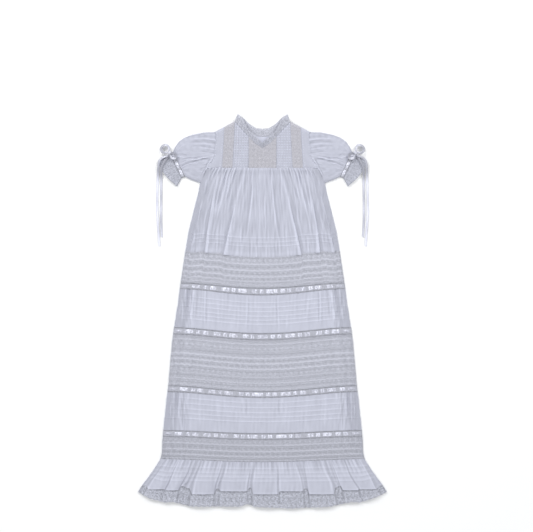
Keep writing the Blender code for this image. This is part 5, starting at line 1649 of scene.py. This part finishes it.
def make_sleeves():
    """The puffed sleeves, gathered at the armhole and into the cuff."""

    def sleeve_place(u, v):
        share = 0.5 * (u + 1.0)
        edge = [read(SLEEVE_STATIONS, v, k) for k in (1, 2, 3, 4)]
        spot = []
        for k in (0, 1):
            chord = lerp(ARMHOLE[0][1 + k], ARMHOLE[-1][1 + k], share)
            bow = (read(ARMHOLE, share, 1 + k) - chord) * (1.0 - v) ** 2
            spot.append(lerp(edge[k], edge[2 + k], share) + bow)
        return spot[0] - ARMHOLE_GAP * (1.0 - v), spot[1]

    def lift(u, v):
        puff = SLEEVE_PUFF * (1.0 - u ** 4) * (0.35 + 0.65 * np.sin(math.pi * v))
        across, down = sleeve_place(u, v)
        soft = 0.00035 * ripple(across, down, 7.0, 101)
        ends = (1.0 - smooth(0.0, 0.10, v)) + smooth(0.90, 1.0, v)
        fine = 0.5 + 0.5 * np.cos(46.0 * math.pi * u + 1.5 * np.sin(9.0 * u))
        folds = creases(u, v, SLEEVE_CREASES) * (1.0 - u ** 8)
        return puff + soft + 0.7 * folds + 0.0004 * fine * ends * (1.0 - u ** 6)

    def beading_half(v):
        return 0.5 * GRID * math.dist(CUFF_TOP, CUFF_FOOT) + 0.0 * v

    rows = np.array((0.0, 0.04, 0.09, 0.15, 0.22, 0.34, 0.5, 0.66, 0.78, 0.85, 0.91, 0.96, 1.0))
    cord = corded(rows, (0.0, 0.04, 0.09, 0.15, 0.85, 0.91, 0.96, 1.0))

    def cuff_phase(u):
        return (0.5 * (u + 1.0) * CUFF_PATCHES) % 1.0

    def beading_lift(u, v):
        phase = cuff_phase(u)
        bar = np.exp(-((np.minimum(phase, 1.0 - phase) / 0.10) ** 2))
        rise = CUFF_LIFT * (1.0 - u ** 4)
        return rise + 0.0005 * cord + 0.0008 * bar * (1.0 - np.abs(2.0 * v - 1.0) ** 4)

    def frill_edge(u):
        share = 0.5 * (u + 1.0)
        stations = np.linspace(0.0, 1.0, len(FRILL_EDGE))
        return [np.interp(share, stations, [row[k] for row in FRILL_EDGE]) for k in (0, 1)]

    def frill_lift(u, v):
        wave = 0.5 + 0.5 * np.cos(FRILL_WAVES * math.pi * (u + 1.0))
        fine = 0.5 + 0.5 * np.cos(17.0 * math.pi * u + 1.5 * np.sin(6.0 * u))
        rows_high = np.exp(-(((v - 0.35) / 0.1) ** 2)) + np.exp(-(((v - 0.85) / 0.1) ** 2))
        swell = (FRILL_WAVE_HEIGHT * wave + 0.0006 * fine) * (0.25 + 0.75 * v)
        return (swell + 0.5 * LACE_ROW_HEIGHT * rows_high) * (1.0 - u ** 6)

    sleeve_rows = np.linspace(0.0, 1.0, 76)
    spread, share = np.meshgrid(np.linspace(-1.0, 1.0, 190), sleeve_rows)
    # Painted light and shade for the sleeves: paler crease ridges and darker troughs, darker overall
    # and at the rounded edges, and painted bands along the fine gathers.
    sleeve_shade = 0.46 * np.clip(creases(spread, share, SLEEVE_CREASES) / 0.0016, -1.0, 1.0)
    sleeve_shade = sleeve_shade - 0.34 - 0.8 * smooth(0.88, 1.0, np.abs(spread))
    fine_gather_shading = ripple(40.0 * spread, 60.0 * share, 3.4, 61, 9.0)
    sleeve_shade = sleeve_shade + 0.34 * fine_gather_shading * (0.35 + 0.65 * np.abs(2.0 * share - 1.0))
    for side, mirror in SIDES:
        flip = mirror > 0

        def mirrored(plan, mirror=mirror, overlap=0.0):
            def place(u, v, front):
                across, down = plan(u, v)
                if front and overlap:
                    inside = np.minimum(1.0, (1.0 - np.abs(u)) * 12.0)
                    across = across + overlap * (1.0 - v) ** 2 * inside
                return across * mirror, down

            return place

        def beading_plan(u, v):
            return cuff_point(u, lerp(0.0, CUFF_DEPTH, v))

        def frill_plan(u, v):
            foot = cuff_point(u, CUFF_DEPTH + 0.0 * v)
            free = frill_edge(u)
            tip = 1.0 + 0.035 * np.abs(np.sin(15.0 * math.pi * u)) * smooth(0.7, 1.0, v)
            return lerp(foot[0], free[0], v * tip), lerp(foot[1], free[1], v * tip)

        sleeve = pressed_tube(
            f"sleeve_{side}_cloth", mirrored(sleeve_place, overlap=0.9),
            half_span(sleeve_place), 190, sleeve_rows, lift, Finishes.get("lawn"),
            along=lambda v: SLEEVE_LENGTH * v, flip=flip, extra_painted_shading=sleeve_shade,
        )
        dress(sleeve, f"sleeve_{side}")
        strip = pressed_tube(
            f"cuff_beading_{side}_net", mirrored(beading_plan), beading_half, 120, rows,
            beading_lift, Finishes.get("beading"), along=lambda v: BEADING_DEPTH * v, flip=flip,
        )
        dress(strip, f"cuff_beading_{side}")

        def ribbon_plan(u, v, mirror=mirror):
            hump = ribbon_hump(cuff_phase(u))
            out = 0.5 + (v - 0.5) * (0.56 + 0.22 * hump)
            across, down = cuff_point(0.965 * u, CUFF_DEPTH * out)
            return across * mirror, down

        def ribbon_height(u, v):
            hump = ribbon_hump(cuff_phase(u))
            crown = 1.0 - np.abs(2.0 * v - 1.0) ** 3
            pleat = np.sin(2.0 * math.pi * (2.2 * cuff_phase(u) + 0.5 * v) + 5.0 * u)
            rise = 0.0004 + 0.0011 * crown + 0.0003 * pleat * crown
            base = FLAT_HEIGHT + CUFF_LIFT * (1.0 - u ** 4)
            return base + hump * rise - (1.0 - hump) * 0.0003

        def ribbon_painted_shading(u, v):
            # Painted light and shade along the pleats, and painted shade where the ribbon dips under
            # the bars.
            pleat = np.sin(2.0 * math.pi * (2.2 * cuff_phase(u) + 0.5 * v) + 5.0 * u)
            return 0.5 * pleat - 0.8 * (1.0 - ribbon_hump(cuff_phase(u)))

        ribbon = flat_panel(
            f"cuff_ribbon_{side}_satin", ribbon_plan, np.linspace(-1, 1, 73),
            np.linspace(0, 1, 9), ribbon_height, Finishes.get("satin"), mirror > 0,
            marks=lambda u, v: (0.031 * u, v), extra_painted_shading=ribbon_painted_shading,
        )
        dress(ribbon, f"cuff_ribbon_{side}")
        frill = pressed_tube(
            f"cuff_lace_{side}_net", mirrored(frill_plan), half_span(frill_plan), 190,
            np.linspace(0.0, 1.0, 30), frill_lift, Finishes.get("frill"),
            along=lambda v: FRILL_DEPTH * v, flip=flip,
        )
        dress(frill, f"cuff_lace_{side}")


def make_bows():
    """The bow at each cuff: its two loops and its knot."""
    x, y, _ = points_at(*KNOT_CENTRE, 0.0)
    axis = np.array((math.cos(BOW_TURN), math.sin(BOW_TURN)))
    over = np.array((-axis[1], axis[0]))
    route = []
    for along, across, level in BOW_ROUTE:
        spot = np.array((x, y)) + 0.001 * (axis * along + over * across)
        route.append((spot[0], spot[1], 0.001 * level))
    path, length = smooth_route(route, 0.0011)
    share = np.linspace(0.0, 1.0, len(path))
    _, level = route_axes(path)
    rise = np.tile((0.0, 0.0, 1.0), (len(path), 1))
    tilt = math.radians(24.0) + math.radians(12.0) * np.sin(11.0 * share)
    pinch = 0.62 + 0.38 * np.abs(np.sin(math.pi * np.clip(share / 0.53, 0.0, 1.0)))
    second = 0.62 + 0.38 * np.abs(np.sin(math.pi * np.clip((share - 0.53) / 0.47, 0.0, 1.0)))
    width = BOW_WIDTH * np.where(share < 0.53, pinch, second)
    wide = level * np.cos(tilt)[:, None] + rise * np.sin(tilt)[:, None]
    out = rise * np.cos(tilt)[:, None] - level * np.sin(tilt)[:, None]
    for side, mirror in SIDES:
        columns = []
        for a in np.linspace(-1.0, 1.0, 9):
            cup = 0.00055 * (1.0 - a * a) * (1.0 + 0.5 * np.sin(26.0 * share))
            spot = path + wide * (a * 0.5 * width)[:, None] + out * cup[:, None]
            columns.append(spot * np.array((mirror, 1.0, 1.0)))
        spots = np.stack(columns, axis=1)
        marks = np.stack(
            np.broadcast_arrays((share * length)[:, None], np.linspace(0, 1, 9)[None, :]),
            axis=-1,
        )
        # Painted gloss and shade along the loops: bands of painted highlight over an overall darker
        # painted shade.
        painted_gloss_and_shade = 0.6 * np.sin(15.0 * share) + 0.4 * np.sin(38.0 * share) - 1.1
        tone = np.repeat(painted_gloss_and_shade[:, None], 9, 1)
        loops = lay_cloth(
            f"bow_{side}_satin", spots, marks, Finishes.get("silk"), False, mirror < 0, tone
        )
        dress(loops, f"bow_{side}")
        turns = np.linspace(0.0, 2.0 * math.pi, 28, endpoint=False)
        rings = []
        for end in np.linspace(-1.0, 1.0, 15):
            swell = (1.0 - 0.35 * end * end) * (1.0 + 0.05 * math.cos(9.0 * end))
            groove = 1.0 + 0.05 * np.cos(3.0 * math.pi * end + 2.0 * turns)
            reach = 0.5 * KNOT_SPAN * np.sign(np.cos(turns)) * np.abs(np.cos(turns)) ** 0.7
            middle = 0.5 * (KNOT_TOP + KNOT_FOOT)
            tall = 0.5 * (KNOT_TOP - KNOT_FOOT) * np.sign(np.sin(turns))
            high = middle + tall * np.abs(np.sin(turns)) ** 0.7 * swell * groove
            reach = reach * swell * groove
            spot_x = x + over[0] * reach + axis[0] * 0.5 * KNOT_WIDTH * end
            spot_y = y + over[1] * reach + axis[1] * 0.5 * KNOT_WIDTH * end
            rings.append(np.stack([spot_x * mirror, spot_y, high], axis=-1))
        spots = np.stack(rings, axis=0)
        ends = np.linspace(0.0, 1.0, 15)
        marks = np.stack(
            np.broadcast_arrays(
                np.linspace(0.0, 0.028, 29)[None, :], ends[:, None]
            ), axis=-1,
        )
        # Painted bands of light and shade across the knot.
        tone = np.repeat((0.8 * np.cos(9.0 * np.linspace(-1, 1, 15)) - 0.5)[:, None], 28, 1)
        knot = lay_cloth(
            f"bow_knot_{side}_satin", spots, marks, Finishes.get("silk"), True, mirror < 0,
            tone,
        )
        dress(knot, f"bow_knot_{side}")


def finish_buttons():
    """Mother-of-pearl for the three buttons that stay as they are."""
    for number in (1, 2, 3):
        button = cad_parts[f"button_{number}"]
        for slot in button.material_slots:
            slot.material = Finishes.get("pearl")


def make_stitching():
    """Fine corded seams at the armholes and between the yoke's panels."""
    rings = np.linspace(0.0, 2.0 * math.pi, 6, endpoint=False)

    def seam(name, route):
        path, length = smooth_route(route, 0.0012)
        share = np.linspace(0.0, 1.0, len(path))
        along = np.gradient(path, axis=0)
        along /= np.linalg.norm(along, axis=1)[:, None]
        level = np.stack([-along[:, 1], along[:, 0], np.zeros(len(path))], axis=1)
        rise = np.array((0.0, 0.0, 1.0))
        bead = SEAM_RADIUS * (1.0 + 0.22 * np.sin(2.0 * math.pi * share * length / 0.0036))
        spots = np.stack(
            [path + (level * math.cos(turn) + rise * 0.7 * math.sin(turn)) * bead[:, None]
             for turn in rings], axis=1,
        )
        marks = np.stack(
            np.broadcast_arrays((share * length)[:, None], np.linspace(0, 0.003, 7)[None, :]),
            axis=-1,
        )
        piece = lay_cloth(name, spots, marks, Finishes.get("thread"), True)
        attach(piece, "root")

    for side, mirror in SIDES:
        armhole = [
            tuple(points_at(row[1] * mirror, row[2], SEAM_HEIGHT)) for row in ARMHOLE[:5]
        ]
        seam(f"armhole_seam_{side}", armhole)
        for label, table, top in (
            ("side", SIDE_SEAM, SHOULDER), ("lace", LACE_SEAM, FRONT_NECK),
            ("centre", CENTRE_SEAM, FRONT_NECK),
        ):
            start = float(read(top, table[0][1]))
            route = [
                tuple(points_at(read(table, v) * mirror, lerp(start + 1.0, YOKE_HEM, v), 0.0044))
                for v in np.linspace(0.0, 1.0, 6)
            ]
            seam(f"yoke_{label}_seam_{side}", route)
    hem = [
        tuple(points_at(across, YOKE_HEM, SEAM_HEIGHT)) for across in np.linspace(-55.0, 55.0, 12)
    ]
    seam("yoke_hem_seam", hem)


# Settings, operators and panel


def colour(name, description, default):
    """A colour that the user can change."""
    return FloatVectorProperty(
        name=name, description=description, default=default, subtype="COLOR",
        size=3, min=0.0, max=1.0,
    )


def number(name, description, default, unit="NONE"):
    """A number that the user can change."""
    return FloatProperty(name=name, description=description, default=default, unit=unit)


class GownColours(bpy.types.PropertyGroup):
    """The colours of the gown's cloth."""

    lawn: colour("Lawn", "Colour of the cotton lawn", (0.528, 0.540, 0.625))
    lace: colour("Lace", "Colour of the lace bands and collar", (0.548, 0.557, 0.628))
    edging: colour("Edging", "Colour of the hem lace and cuff frills", (0.42, 0.43, 0.49))
    cream_lace: colour("Cream lace", "Colour of the yoke's lace", (0.525, 0.518, 0.566))
    ribbon: colour("Ribbon", "Colour of the satin ribbon", (0.74, 0.75, 0.865))
    button: colour("Buttons", "Colour of the pearl buttons", (0.70, 0.70, 0.71))
    floor: colour("Floor", "Colour of the studio floor", (0.93, 0.93, 0.93))


class GownStage(bpy.types.PropertyGroup):
    """Where the floor, the lights and the camera are."""

    floor_level: number("Floor level", "Height of the floor", -0.0003, "LENGTH")
    floor_span: number("Floor span", "Half the floor's width", 12.0, "LENGTH")
    sky: number("Sky", "Strength of the light from all round", 0.52)
    key: number("Key light", "Power of the light from the upper left", 84.0, "POWER")
    second: number("Second light", "Power of the light from the upper right", 56.0, "POWER")
    fill: number("Fill light", "Power of the light from the hem's end", 46.0, "POWER")
    lens: number("Lens", "Focal length in mm", 85.0)
    across: number("Across", "Camera's place across", 0.009, "LENGTH")
    along: number("Along", "Camera's place along", 0.1018, "LENGTH")
    height: number("Height", "Camera's height", 2.834, "LENGTH")


def operator(name, label, words, job, needs_context=False):
    """An operator class for one job of the dressing."""

    def execute(self, context):
        if needs_context:
            job(context)
        else:
            job()
        return {"FINISHED"}

    return type(
        "GOWN_OT_" + name, (bpy.types.Operator,),
        {"bl_idname": "gown." + name, "bl_label": label, "__doc__": words, "execute": execute},
    )


OPERATORS = (
    operator("stage", "Stage", "Set the floor, the lights and the camera", make_stage, True),
    operator("streamers", "Streamers", "Lay the bows' free ends", make_streamers),
    operator("tiers", "Tiers", "Lay the three tucked tiers", make_tiers),
    operator("lace_bands", "Lace bands", "Lay the three lace bands", make_lace_bands),
    operator("beadings", "Beading", "Lay the beading and its ribbons", make_beadings),
    operator("ruffle", "Ruffle", "Lay the ruffle and the hem lace", make_ruffle),
    operator("yoke", "Yoke", "Lay the yoke's panels", make_yoke),
    operator("collar", "Collar", "Lay the lace collar", make_collar),
    operator("sleeves", "Sleeves", "Lay the sleeves and cuffs", make_sleeves),
    operator("bows", "Bows", "Tie the bows at the cuffs", make_bows),
    operator("buttons", "Buttons", "Finish the pearl buttons", finish_buttons),
    operator("stitching", "Stitching", "Sew the yoke's corded seams", make_stitching),
)


class GOWN_PT_dressing(bpy.types.Panel):
    """Lists the gown's pieces in the sidebar."""

    bl_idname = "GOWN_PT_dressing"
    bl_label = "Christening gown"
    bl_space_type = "VIEW_3D"
    bl_region_type = "UI"
    bl_category = "Gown"

    def draw(self, context):
        for kind in OPERATORS:
            self.layout.operator(kind.bl_idname)
        for group in (context.scene.gown_colours, context.scene.gown_stage):
            box = self.layout.box()
            for name in group.__annotations__:
                box.prop(group, name)


CLASSES = (GownColours, GownStage) + OPERATORS + (GOWN_PT_dressing,)


def register():
    """Add the classes and the scene's settings."""
    for kind in CLASSES:
        bpy.utils.register_class(kind)
    bpy.types.Scene.gown_colours = PointerProperty(type=GownColours)
    bpy.types.Scene.gown_stage = PointerProperty(type=GownStage)


def unregister():
    """Take the settings and the classes away."""
    del bpy.types.Scene.gown_stage
    del bpy.types.Scene.gown_colours
    for kind in reversed(CLASSES):
        bpy.utils.unregister_class(kind)


def main():
    """Dress the whole gown, then write the two boxes."""
    register()
    for kind in OPERATORS:
        group, name = kind.bl_idname.split(".")
        getattr(getattr(bpy.ops, group), name)()


if __name__ == "__main__":
    main()
